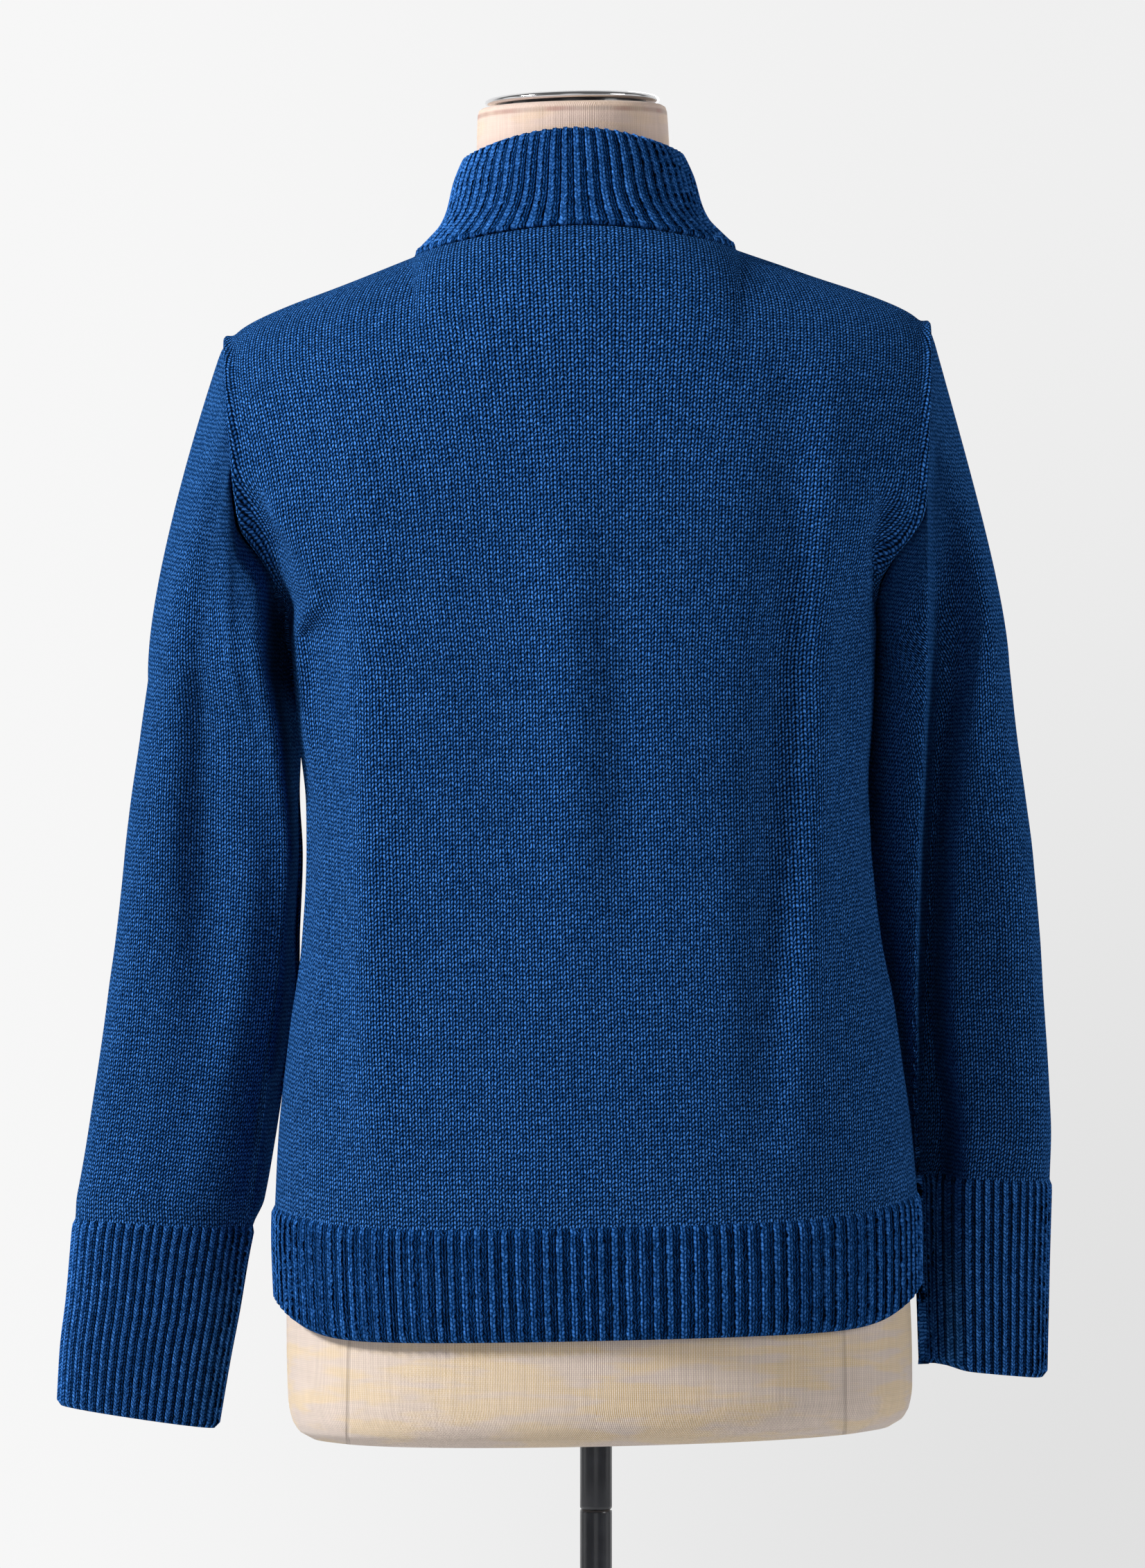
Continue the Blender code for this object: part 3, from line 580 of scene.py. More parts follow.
def yarn(name, strands, pits, wander, jitter, depth):
    """Knitted yarn on a piece's own UV map, in wales across and courses up.

    Each strand is a column inside one repeat: its middle, half width, slant, phase, height, brightness and
    swell. Across it the yarn is round, sqrt(1 - off^2); along it, it swells once a course, by
    1 - swell (2 fraction - 1)^2. The brightness is painted light and shade: each strand is lighter on its
    crown and goes to a painted shade at its sides and between strands. Each pit is an opening between loops:
    its column, half width, half height, phase and darkness, a painted shade in it that also sinks the relief.
    """
    knit = Finish(name, IOR=1.45, Specular_IOR_Level=0.0, Sheen_Weight=0.10, Sheen_Roughness=0.5,
                  Sheen_Tint=(0.1, 0.4, 1.0, 1))
    where = knit.place()
    uv = knit.node("ShaderNodeUVMap", {"uv_map": "cloth"})
    u, v = knit.axes(uv, 2)
    flow, shake = knit.noise(where, 34.0, 2.0) - 0.5, knit.noise(where, 330.0, 1.0) - 0.5
    u = u + wander * flow + 0.28 * shake
    v = (v + wander * (2.0 * knit.noise(where, 27.0, 2.0) - 1.0)
         + 1.0 * (knit.noise(where, 250.0, 1.0) - 0.5))
    part, wale = u.fraction(), u.floor()
    v = v + jitter * knit.node("ShaderNodeTexWhiteNoise", {"noise_dimensions": "1D"}, {"W": wale})
    height, light = None, None
    for middle, half, slant, phase, tall, bright, swell in strands:
        off = (part - middle) * (1 / half)
        at = v - slant * off + phase
        one_stitch = knit.node("ShaderNodeCombineXYZ", {}, {0: wale + middle, 1: at.floor()})
        stitch = knit.node("ShaderNodeTexWhiteNoise", {"noise_dimensions": "2D"}, {"Vector": one_stitch})
        body = (1 - off * off).root() * (1 - swell * (at.fraction() * 2 - 1) ** 2)
        one = body * (tall * (0.80 + 0.40 * stitch))
        # Painted light: each strand is lighter on its crown and goes to painted shade at its sides and
        # between strands.
        painted_lit = body * (bright * (0.86 + 0.32 * stitch))
        height = one if height is None else height.most(one)
        light = painted_lit if light is None else light.most(painted_lit)
    pit_dent_and_shade = 0.0
    # Each pit is painted shade in the opening between loops, and also sinks the relief there.
    for column, half, tall, phase, pit_shade in pits:
        aside = 0.5 - abs((u - column).fraction() - 0.5)
        above = abs((v + phase).fraction() - 0.5)
        one = (1 - aside.ramp(0.35 * half, half)) * (1 - above.ramp(0.5 * tall, tall)) * pit_shade
        pit_dent_and_shade = one + pit_dent_and_shade
    along_rows = knit.node("ShaderNodeCombineXYZ", {}, {0: u * 0.022, 1: v * 0.90})
    streak = knit.noise(along_rows, 1.0, 2.0)
    fuzz, fibre = knit.noise(where, 2200.0, 2.0), knit.noise(where, 800.0, 2.0)
    tone = knit.noise(where, 14.0, 3.0) * 0.20 + streak * 0.50 + fibre * 0.60 + fuzz * 2.10 - 0.56
    # The pits' painted shade is taken off the painted light, which picks the colour from painted shade
    # through the yarn's blue to a painted highlight.
    light = light - pit_dent_and_shade
    colour = knit.mix(light.ramp(0.16, 0.72), PAINTED_SHADE_BLUE, BLUE)
    colour = knit.mix(light.ramp(0.52, 1.25), colour, PAINTED_HIGHLIGHT_BLUE)
    knit.colour(knit.tinted(colour, tone))
    knit.rough(0.95 - 0.12 * light)
    knit.bump(height - 0.7 * pit_dent_and_shade + 0.22 * fuzz, depth, 1.0)
    return knit


FOLDS = "depth at slant wide middle reach"
# Plain knit: two legs and a sunken middle strand. The strands' brightness is painted light and shade, with
# the sunken strand painted darker, and the pits are painted shade.
plain = yarn("plain_knit", ((0.25, 0.24, -0.12, 0.00, 1.00, 1.02, 0.70),
                            (0.75, 0.24, 0.30, 0.18, 0.96, 0.94, 0.70),
                            (0.50, 0.14, 0.00, 0.42, 0.55, 0.50, 0.70)),
             ((0.00, 0.15, 0.38, 0.55, 0.95), (0.50, 0.13, 0.32, 0.10, 0.80)), 0.22, 0.30, 0.0012)

# Long soft folds down the back, by distance along the cloth from its middle, positive to the wearer's left.
MIDDLE_FOLDS = table(
    FOLDS,
    (0.0085, 0.129, 0, 0.019, 0.86, 0.2),
    (-0.0035, 0.053, 0, 0.028, 0.9, 0.16),
    (0.005, 0.006, 0.01, 0.018, 0.93, 0.12),
    (-0.003, -0.02, 0.01, 0.016, 0.93, 0.12),
    (-0.0085, -0.113, -0.06, 0.015, 0.89, 0.19),
    (0.0055, -0.139, -0.06, 0.015, 0.92, 0.18))

# Shorter ones, by distance from the side seam.
LEFT_BACK_FOLDS = table(
    FOLDS,
    (0.003, 0.019, 0.01, 0.008, 0.85, 0.08),
    (-0.01, 0.012, 0, 0.01, 1.048, 0.022))
RIGHT_BACK_FOLDS = table(
    FOLDS,
    (0.0028, 0.019, -0.02, 0.009, 0.82, 0.08),
    (-0.012, 0.016, 0.5, 0.008, 1.035, 0.028))

# At the waist the side seams are pinched in, so that the fronts bulge out a little beyond them.
LEFT_SIDE = table(
    "height pull",
    (0.755, 0),
    (0.786, 0.0045),
    (0.805, 0.0115),
    (0.83, 0.016),
    (0.865, 0.0175),
    (0.89, 0.0155),
    (0.92, 0.0075),
    (0.945, 0))
RIGHT_SIDE = table(
    "height pull",
    (0.765, 0),
    (0.79, 0.005),
    (0.815, 0.0078),
    (0.84, 0.007),
    (0.865, 0.003),
    (0.9, 0))


# Behind each arm the cloth falls into a hollow, with the seam of the armhole forward at the bottom of it.
LEFT_ARMPIT = table(
    "height depth lift",
    (0.86, 0, 0),
    (0.9, 0, 0.005),
    (0.94, 0.004, 0.015),
    (0.965, 0.009, 0.0185),
    (0.99, 0.015, 0.015),
    (1.01, 0.019, 0.009),
    (1.035, 0.018, 0.004),
    (1.06, 0.008, 0),
    (1.085, 0, 0))
RIGHT_ARMPIT = table(
    "height depth lift",
    (0.86, 0, 0),
    (0.88, 0, 0.002),
    (0.93, 0.006, 0.005),
    (0.965, 0.015, 0.006),
    (0.99, 0.018, 0.004),
    (1.01, 0.013, 0),
    (1.04, 0.004, 0),
    (1.07, 0, 0))


def in_armpit(grid, off, armpit, ahead):
    """A panel with its side moved forward into the hollow, by the table's depth times a bell from the side.
    Behind, a rounded edge stands up beside it by lift exp(-((off - 34 mm) / 18 mm)^2); before the armhole,
    above the underarm, the hollow ends within 3 cm."""
    height = grid[..., 2]
    depth = along(armpit, "depth", height)
    if ahead:
        move = -depth * unit(1 - (height - UNDERARM) / 0.03) * bell(off, 0.035)
    else:
        move = along(armpit, "lift", height) * bell(off - 0.034, 0.018) - depth * bell(off, 0.014)
    return grid + move[..., None] * (0, 1, 0)


def panel_fold(off, grid, folds, side, spread):
    """A panel's folds, none of them at the side seam or beside the ribbing, with the pull of the seam, and a
    raised roll along the armhole where the seam lies under it."""
    up = run(grid, 0)
    fold = folded(off, grid[..., 2], folds) * unit(off / 0.006) * unit(up / 0.04)
    armhole = unit((grid[..., 2] - UNDERARM) / 0.02)
    roll = 0.0034 * bell(off - 0.0034, 0.0026) - 0.0010 * bell(off, 0.0012)
    return fold - along(side, "pull", grid[..., 2]) * bell(off, spread) + roll * armhole


def seam_roll(grid, depth):
    """Draws the cloth in by the depth beside its upper edge, where a seam pulls on it."""
    up = run(grid, 0)
    return -depth * bell(up[-1:] - up, 0.004)


def wales_and_courses(grid, middle_column):
    """A UV map in wales across and courses up, from the lengths along the cloth and the table of wales.
    Wales count to the right as seen from outside."""
    across = run(grid, 1, middle_column) / (along(WALE, "wide", grid[..., 2]) / 1000)
    return grid_of(across, run(grid, 0) / COURSE)


half_back = half_panel(False, 0.0)
off = -run(half_back, 1, -1)
left_fold = panel_fold(off, half_back, LEFT_BACK_FOLDS, LEFT_SIDE, 0.012)
right_fold = panel_fold(off, half_back, RIGHT_BACK_FOLDS, RIGHT_SIDE, 0.012)
back = joined(mirrored(in_armpit(half_back, off, RIGHT_ARMPIT, False)),
              in_armpit(half_back, off, LEFT_ARMPIT, False))
middle = half_back.shape[1] - 1
back_fold = (joined(right_fold[:, ::-1], left_fold) + seam_roll(back, 0.0012)
             + folded(run(back, 1, middle), back[..., 2], MIDDLE_FOLDS) * unit(run(back, 0) / 0.05))
uv = wales_and_courses(back, middle) * (-1, 1)
back_panel = knitted("back_knit", back, back_fold, 0, KNIT, False, uv, plain, "blue_knit", "back_panel")


# ---- Fronts
# Two panels of the same knit, sewn to the back at the sides and shoulders and to the bands at the middle.
# Their folds are shallower than those of the back.

BAND_HALF = 0.0155
LEFT_FRONT_FOLDS = table(
    FOLDS,
    (0.003, 0.016, 0, 0.012, 0.84, 0.07),
    (-0.0022, 0.06, 0.03, 0.016, 0.8, 0.12),
    (0.0018, 0.105, -0.03, 0.02, 0.72, 0.1),
    (-0.0025, 0.03, 0, 0.015, 0.985, 0.05))
RIGHT_FRONT_FOLDS = table(
    FOLDS,
    (0.003, 0.015, 0, 0.012, 0.82, 0.08),
    (-0.002, 0.052, 0.02, 0.015, 0.83, 0.11),
    (0.002, 0.095, 0.02, 0.018, 0.74, 0.09),
    (-0.0025, 0.03, 0, 0.015, 0.99, 0.05))

front = half_panel(True, BAND_HALF, 66)
off = -run(front, 1, -1)
for side, folds, seam, armpit in (("left", LEFT_FRONT_FOLDS, LEFT_SIDE, LEFT_ARMPIT),
                                  ("right", RIGHT_FRONT_FOLDS, RIGHT_SIDE, RIGHT_ARMPIT)):
    fold = panel_fold(off, front, folds, seam, 0.024) + seam_roll(front, 0.0012)
    uv = wales_and_courses(front, 0)
    grid = in_armpit(front, off, armpit, True)
    if side == "right":
        grid, fold, uv = mirrored(grid), fold[:, ::-1], uv[:, ::-1] * (-1, 1)
    panel = knitted(side + "_front_knit", grid, fold, 0, KNIT, False, uv, plain, "blue_knit", side + "_front")


# ---- Hem ribbing
# Knitted on below the back and fronts in one piece with them, in ribs of two legs and a sunken purl column.
# In the yarn's colour one leg is painted brighter than the other and the purl column darker: painted light
# and shade. It grips the hips, and its lower corners round up at the side seams.

RIB = 0.0032            # thickness of the ribbed knit
RIB_TALL = 0.0020       # how far a rib stands out of the trough beside it
HEM_RIB = 0.0079        # width of a rib
RIB_STRANDS = ((0.13, 0.13, -0.12, 0.00, 1.00, 0.88, 0.40),
               (0.37, 0.14, 0.30, 0.30, 0.95, 0.80, 0.45),
               (0.62, 0.12, -0.55, 0.10, 0.44, 0.66, 0.60),
               (0.86, 0.11, 0.55, 0.10, 0.40, 0.60, 0.60))
ribbed = yarn("ribbed_knit", RIB_STRANDS,
              ((0.72, 0.05, 0.34, 0.30, 0.40), (0.49, 0.04, 0.60, 0.00, 0.40),
               (0.98, 0.05, 0.60, 0.00, 0.50)), 0.10, 0.0, 0.0005)


def ribbing(u):
    """How far out each rib stands, 0 to 1: the highest of its strands' rounded tops at that point."""
    part = (u % 1)[..., None]
    middle, half, _, _, tall, _, _ = np.array(RIB_STRANDS).T
    return np.max(tall * np.sqrt(unit(1 - ((part - middle) / half) ** 2)), -1)


def rounded_edge(far, radius=0.0022):
    """How high cloth is at a distance from its edge, 0 to 1: a quarter circle of the radius."""
    return np.sqrt(1 - unit(1 - far / radius) ** 2)


def hem_half(ahead, inner, columns):
    """Half the ribbing, rows up, columns at even lengths round the body."""
    fine = np.linspace(0, 1, 800)
    middle_row = lower_body(inner + (BODY["half"].max() - inner) * fine, 0.61, ahead)
    length = run(middle_row[None], 1)[0]
    share = np.interp(np.linspace(0, length[-1], columns), length, fine)[None]
    out = hem_out(inner, share)
    low, high = HEM_BOTTOM + HEM_LIFT * out ** 12, HEM_TOP + HEM_RISE * out ** 6
    height = low + (high - low) * np.linspace(0, 1, 27)[:, None]
    x = inner + (along(BODY, "half", height) - inner) * share
    return lower_body(x, height, ahead), length[-1]


def rib_relief(grid, ribs):
    """Ribs that fade out at the top, into the plain knit, and round off at the cast-on edge."""
    up = run(grid, 0)
    edge = rounded_edge(up)
    return RIB_TALL * (ribs * unit((up[-1:] - up) / 0.004) * edge - 0.6 * (1 - edge))


for name, node, ahead, inner in (("back_hem_ribbing", "back_hem_rib", False, 0.0),
                                 ("left_front_hem_ribbing", "left_front_hem_rib", True, BAND_HALF),
                                 ("right_front_hem_ribbing", "right_front_hem_rib", True, BAND_HALF)):
    half, length = hem_half(ahead, inner, 260 if ahead else 300)
    across = run(half, 1)[10:11] / HEM_RIB + 0 * half[..., 0]
    if not ahead:
        grid, across = joined(mirrored(half), half), -joined(-across[:, ::-1], across)
    elif "right" in name:
        grid, across = mirrored(half), -across[:, ::-1]
    else:
        grid = half
    uv = grid_of(across, run(grid, 0) / COURSE)
    relief = rib_relief(grid, ribbing(across))
    piece = knitted(name, grid, 0, relief, RIB, False, uv, ribbed, "blue_rib", node)
    wide = length * (1 if ahead else 2)
    round(0.9 * wide, 3)


# ---- Sleeves
# Each is one tapering tube of plain knit, sewn into the armhole. It hangs a little behind the form's side,
# emptied of its arm, so a long fold runs down its back.

SLEEVE = "height out behind half deep tip fold fold_at"
LEFT_SLEEVE = table(
    SLEEVE,
    (0.524, 0.2759, -0.036, 0.0474, 0.021, 9.7, 0, 100),
    (0.562, 0.2707, -0.036, 0.0494, 0.0225, 7.8, 0, 100),
    (0.588, 0.266, -0.036, 0.0503, 0.024, 6.5, 0, 100),
    (0.639, 0.2578, -0.036, 0.0528, 0.029, 4.2, 0, 100),
    (0.654, 0.2535, -0.036, 0.0556, 0.0315, 3.5, 0.0005, 100),
    (0.722, 0.2407, -0.0355, 0.0558, 0.0345, 2, 0.002, 100),
    (0.776, 0.2314, -0.034, 0.0564, 0.038, 1, 0.003, 95),
    (0.808, 0.2274, -0.032, 0.0552, 0.041, 0.5, 0.0035, 90),
    (0.857, 0.2224, -0.025, 0.0535, 0.046, 0, 0.0035, 85),
    (0.889, 0.2207, -0.02, 0.0506, 0.05, 0, 0.003, 80),
    (0.931, 0.2176, -0.012, 0.0462, 0.056, 0, 0.002, 75),
    (0.962, 0.2168, -0.005, 0.0415, 0.062, 0, 0.001, 70))
RIGHT_SLEEVE = table(
    SLEEVE,
    (0.541, 0.2289, -0.034, 0.0362, 0.035, -6.6, 0, 120),
    (0.598, 0.2297, -0.034, 0.0378, 0.0365, -4.8, 0, 120),
    (0.656, 0.2311, -0.034, 0.0392, 0.0385, -2.8, 0.001, 120),
    (0.68, 0.2315, -0.034, 0.0401, 0.04, -2.3, 0.002, 120),
    (0.712, 0.23, -0.034, 0.0411, 0.041, -2, 0.004, 118),
    (0.767, 0.225, -0.033, 0.0437, 0.0425, -1.5, 0.007, 112),
    (0.799, 0.2227, -0.031, 0.0447, 0.045, -1, 0.0085, 106),
    (0.848, 0.2186, -0.024, 0.0452, 0.049, 0, 0.0095, 98),
    (0.88, 0.2163, -0.019, 0.0438, 0.052, 0, 0.0095, 92),
    (0.922, 0.2137, -0.012, 0.0412, 0.057, 0, 0.008, 85),
    (0.96, 0.2124, -0.006, 0.039, 0.062, 0, 0.0055, 80))
CUFF_TOP = {"left": 0.639, "right": 0.656}
HEAD_BULGE = {"left": 0.006, "right": 0.002}
SLEEVE_WALE = 0.0033

# Folds by angle round the sleeve, in degrees: 0 is out, 90 behind and 180 in towards the body. The empty
# sleeve falls into two lobes, with a deep hollow between them that faces the body.
LEFT_SLEEVE_FOLDS = table(
    FOLDS,
    (0.003, 101, -216, 6, 0.985, 0.05),
    (-0.0035, 180, 0, 26, 0.85, 0.06),
    (-0.0085, 83, -68, 15, 0.9, 0.14),
    (-0.009, 150, 0, 18, 0.73, 0.11),
    (0.0022, 110, 80, 12, 0.76, 0.12),
    (-0.0018, 60, 60, 14, 0.74, 0.09),
    (0.015, -140, 0, 28, 0.975, 0.055),
    (-0.002, -70, 80, 16, 0.82, 0.12),
    (0.002, -110, -60, 15, 0.76, 0.1))
RIGHT_SLEEVE_FOLDS = table(
    FOLDS,
    (0.0024, 60, -60, 13, 0.78, 0.11),
    (0.018, -140, 0, 30, 0.81, 0.19),
    (-0.002, -75, 80, 16, 0.84, 0.12))


# The crest beside the hollow, by its angle; lift and depth are how far the crest and the hollow stand off
# the plain section. The lift spreads over the angle wide before the crest; the hollow's floor ends at the
# angle floor past it and comes back over the angle far. The left hollow lies inward of its crest. Full is how
# far the sleeve's outer side is filled out.
HOLLOW = "height angle lift depth wide floor far full"
LEFT_HOLLOW = table(
    HOLLOW,
    (0.524, 172, 0, 0, 14, 24, 36, 0),
    (0.64, 166, 0.002, 0.016, 16, 24, 36, 0),
    (0.74, 160, 0.007, 0.034, 20, 24, 36, 0),
    (0.84, 158, 0.02, 0.042, 25, 24, 36, 0),
    (0.88, 153, 0.022, 0.043, 24, 24, 36, 0),
    (0.906, 146, 0.023, 0.045, 23, 24, 36, 0),
    (0.951, 138, 0.023, 0.054, 22, 24, 36, 0),
    (0.978, 131, 0.021, 0.054, 22, 24, 36, 0),
    (1.02, 124, 0.016, 0.046, 20, 24, 36, 0),
    (1.07, 118, 0.005, 0.016, 14, 24, 36, 0))
RIGHT_HOLLOW = table(
    HOLLOW,
    (0.541, 178, 0, 0.036, 20, 36, 26, 0.006),
    (0.64, 174, 0, 0.048, 20, 38, 22, 0.008),
    (0.69, 166, 0, 0.056, 20, 32, 20, 0.011),
    (0.73, 150, 0.002, 0.056, 20, 12, 20, 0.012),
    (0.765, 141, 0.005, 0.054, 24, 8, 19, 0.012),
    (0.85, 123, 0.004, 0.052, 26, 4, 21, 0.01),
    (0.92, 112, 0.003, 0.048, 26, 5, 27, 0.006),
    (0.965, 107, 0.001, 0.04, 26, 6, 36, 0.002),
    (1.01, 104, 0, 0.03, 24, 6, 44, 0),
    (1.06, 100, 0, 0.016, 24, 6, 46, 0),
    (1.12, 100, 0, 0, 24, 6, 46, 0))


def hollowed(grid, angle, hollow, inward):
    """A sleeve whose back is lifted to a crest and drops away beside it. With off the angle past the crest,
    it moves behind by lift exp(-(off / wide)^2) before the crest; past it that lift goes as
    exp(-(off / 7)^2), the hollow sinks to its depth at the same rate, though never past the front wall, and
    comes back as exp(-((off - floor) / far)^4). Its outer side is filled out by full
    exp(-((angle - 30) / 28)^2)."""
    height, behind = grid[..., 2], grid[..., 1]
    off = inward * ((np.degrees(angle) - along(hollow, "angle", height) + 180) % 360 - 180)
    edge = bell(off, np.where(off > 0, 7.0, along(hollow, "wide", height)))
    past_floor = np.maximum(off - along(hollow, "floor", height), 0)
    back_again = np.exp(-(past_floor / along(hollow, "far", height)) ** 4)
    sink = np.where(off > 0, along(hollow, "depth", height) * (1 - edge) * back_again, 0)
    lowest, highest = np.min(behind, 1, keepdims=True), np.max(behind, 1, keepdims=True)
    ahead = lowest + 0.006
    if inward < 0:
        ahead = np.maximum(ahead, lowest + highest - behind + 0.005)
    full = along(hollow, "full", height) * bell(np.degrees(angle) - 30, 28)
    sink = np.minimum(sink, 0.92 * np.maximum(behind - ahead, 0))
    move = along(hollow, "lift", height) * edge + full - sink
    return grid + move[..., None] * (0, 1, 0)


def sleeve_fold(angle, height, folds):
    """The folds round a ring, where 360 degrees on is the same place."""
    return sum(folded(np.degrees(angle) + turn + 0 * height, height, folds) for turn in (-360, 0, 360))


def sleeve_ring(rows, angle, height):
    """A sleeve's ring: a rounded section whose outer side is tipped up, with the long fold pressed in."""
    half, deep = along(rows, "half", height), along(rows, "deep", height)
    pressed = along(rows, "fold", height) * bell(np.degrees(angle) - along(rows, "fold_at", height), 24.0)
    across = (half - pressed) * np.sign(np.cos(angle)) * np.abs(np.cos(angle)) ** 0.9
    behind = (deep - pressed) * np.sign(np.sin(angle)) * np.abs(np.sin(angle)) ** 0.9
    tip = np.radians(along(rows, "tip", height))
    x, y = along(rows, "out", height) + across * np.cos(tip), along(rows, "behind", height) + behind
    return grid_of(x, y, height + across * np.sin(tip))


# The armhole's edge: up the back's side to the shoulder, and down the front's.
armhole = np.concatenate((half_back[-len(RISES):, -1], front[-len(RISES):, -1][::-1][1:-1]))
armhole_run = run(np.concatenate((armhole, armhole[:1]))[None], 1)[0]
at_shoulder = len(RISES) - 1
top_run = armhole_run[at_shoulder]
sleeve_angle = np.where(armhole_run[:-1] <= top_run, pi * (1 - armhole_run[:-1] / top_run),
                        -pi * (armhole_run[:-1] - top_run) / (armhole_run[-1] - top_run))


def sleeve_grid(rows, cuff_top, bulge, armpit):
    """The tube of rings up to the underarm, then curves that leave it in its own direction and end on the
    armhole: Hermite curves, with a bulge outwards of 4 t (1 - t)."""
    height = np.linspace(cuff_top, rows["height"][-1], 112)[:, None]
    tube = sleeve_ring(rows, sleeve_angle[None], height)
    edge = np.concatenate((in_armpit(armhole[:len(RISES)], 0.0, armpit, False),
                           in_armpit(armhole[len(RISES):], 0.0, armpit, True)))
    t = np.linspace(0, 1, 42)[1:, None, None]
    start, way = tube[-1], (tube[-1] - tube[-4]) / 3
    chord = edge - start
    leave = way / np.linalg.norm(way, axis=-1, keepdims=True) * np.linalg.norm(chord, axis=-1, keepdims=True)
    head = (start * (1 + 2 * t) * (1 - t) ** 2 + leave * 0.7 * t * (1 - t) ** 2
            + edge * t * t * (3 - 2 * t) - chord * t * t * (1 - t))
    head[..., 0] += (bulge * 4 * t * (1 - t))[..., 0] * unit(np.cos(sleeve_angle))
    return np.concatenate((tube, head))


SLEEVES = (("left", LEFT_SLEEVE, 1, LEFT_SLEEVE_FOLDS, LEFT_HOLLOW, LEFT_ARMPIT),
           ("right", RIGHT_SLEEVE, -1, RIGHT_SLEEVE_FOLDS, RIGHT_HOLLOW, RIGHT_ARMPIT))
for side, rows, flip, folds, hollow, armpit in SLEEVES:
    grid = sleeve_grid(rows, CUFF_TOP[side], HEAD_BULGE[side], armpit)
    up = run(grid, 0)
    free = unit((up[-1:] - up) / 0.02)
    fade = free[..., None]
    grid = grid + (hollowed(grid, sleeve_angle[None], hollow, flip) - grid) * fade * fade * (3 - 2 * fade)
    fold = sleeve_fold(sleeve_angle[None], grid[..., 2], folds) * free + seam_roll(grid, 0.0014)
    around = run(np.concatenate((grid, grid[:, :1]), 1), 1, at_shoulder) / SLEEVE_WALE
    uv = grid_of(-flip * around, np.concatenate((up, up[:, :1]), 1) / COURSE)
    piece = knitted(side + "_sleeve_knit", grid * (flip, 1, 1), fold, 0, KNIT, True, uv, plain, "blue_knit",
                    side + "_sleeve")


# ---- Cuffs
# Narrower ribbing knitted on below each sleeve, in one piece with it. It keeps the sleeve's own folds and
# hollow down to its edge.

CUFF_RIBS = 45          # round each cuff
RIB_COURSE = 0.0022
# The cuff yarn's strand brightness and pits are painted light and shade: the two legs lighter, the sunken
# purl strand and the pits darker.
fine_ribbed = yarn("fine_ribbed_knit", ((0.20, 0.21, -0.45, 0.00, 1.00, 0.98, 0.50),
                                        (0.51, 0.20, 0.50, 0.35, 0.90, 0.88, 0.55),
                                        (0.80, 0.17, -0.40, 0.10, 0.42, 0.54, 0.70)),
                   ((0.98, 0.08, 0.60, 0.00, 0.60), (0.67, 0.06, 0.60, 0.00, 0.40)), 0.10, 0.0, 0.0007)
for side, rows, flip, folds, hollow, _ in SLEEVES:
    low, high = rows["height"][0], CUFF_TOP[side]
    angle = pi - np.linspace(0, 2 * pi, 1801)
    length = run(sleeve_ring(rows, angle[None], np.full((1, 1), 0.6)), 1)[0]
    angle = np.interp(np.linspace(0, length[-1], CUFF_RIBS * 10 + 1), length, angle)[None, :-1]
    height = np.linspace(low, high, 34)[:, None]
    grid = hollowed(sleeve_ring(rows, angle, height), angle, hollow, flip)
    around = np.linspace(0, CUFF_RIBS, CUFF_RIBS * 10 + 1)[None] + 0 * height
    up = run(grid, 0)
    relief = rib_relief(grid, ribbing(-flip * around[:, :-1])) * 0.85
    uv = grid_of(-flip * around, np.concatenate((up, up[:, :1]), 1) / RIB_COURSE)
    fold = sleeve_fold(angle, grid[..., 2], folds)
    piece = knitted(side + "_cuff_ribbing", grid * (flip, 1, 1), fold, relief, RIB, True, uv, fine_ribbed,
                    "blue_rib", side + "_cuff_rib")


# ---- Collar
# A ribbed stand-up collar, linked stitch by stitch to the neck edge, which leaves a ragged raised line. It
# stands open at the front over the bands.

# The collar yarn's strand brightness and pits are painted light and shade: the legs lighter, the sunken purl
# strands and the pits darker.
collar_yarn = yarn("collar_knit", ((0.16, 0.15, -0.25, 0.00, 1.00, 0.98, 0.40),
                                   (0.40, 0.15, 0.35, 0.30, 0.96, 0.90, 0.45),
                                   (0.64, 0.13, -0.45, 0.10, 0.44, 0.72, 0.60),
                                   (0.86, 0.12, 0.45, 0.10, 0.40, 0.64, 0.60)),
                   ((0.75, 0.05, 0.34, 0.30, 0.40), (0.53, 0.04, 0.60, 0.00, 0.40),
                    (0.98, 0.05, 0.60, 0.00, 0.50)), 0.10, 0.0, 0.0005)
COLLAR_HALF, COLLAR_BACK, COLLAR_FRONT = 0.0625, 0.063, 0.064
COLLAR_TALL, COLLAR_FRONT_TALL = 0.0565, 0.070
COLLAR_RIBS = 29        # on each side of the back's middle
COLLAR_COURSE = 0.0024
COLLAR = table(
    "up spread",
    (0, 1),
    (0.15, 0.72),
    (0.3, 0.48),
    (0.45, 0.355),
    (0.75, 0.215),
    (0.9, 0.1),
    (1, 0))


def collar_half(up):
    """Half the collar's width, which narrows from the neck seam's to its own by the table's spread."""
    return COLLAR_HALF + (NECK_HALF - COLLAR_HALF) * along(COLLAR, "spread", up)


def collar(angle, up):
    """The collar by angle round the neck and share of its height: between the neck seam and its upper edge
    by the table's spread."""
    low = neck_seam(angle)
    ahead = np.cos(angle) < 0
    tall = COLLAR_TALL + (COLLAR_FRONT_TALL - COLLAR_TALL) * np.where(ahead, np.cos(angle) ** 2, 0)
    near_y = np.where(ahead, COLLAR_FRONT, COLLAR_BACK) * np.cos(angle)
    y = near_y + (low[..., 1] - near_y) * along(COLLAR, "spread", up)
    return grid_of(collar_half(up) * np.sin(angle), y, low[..., 2] + tall * up)


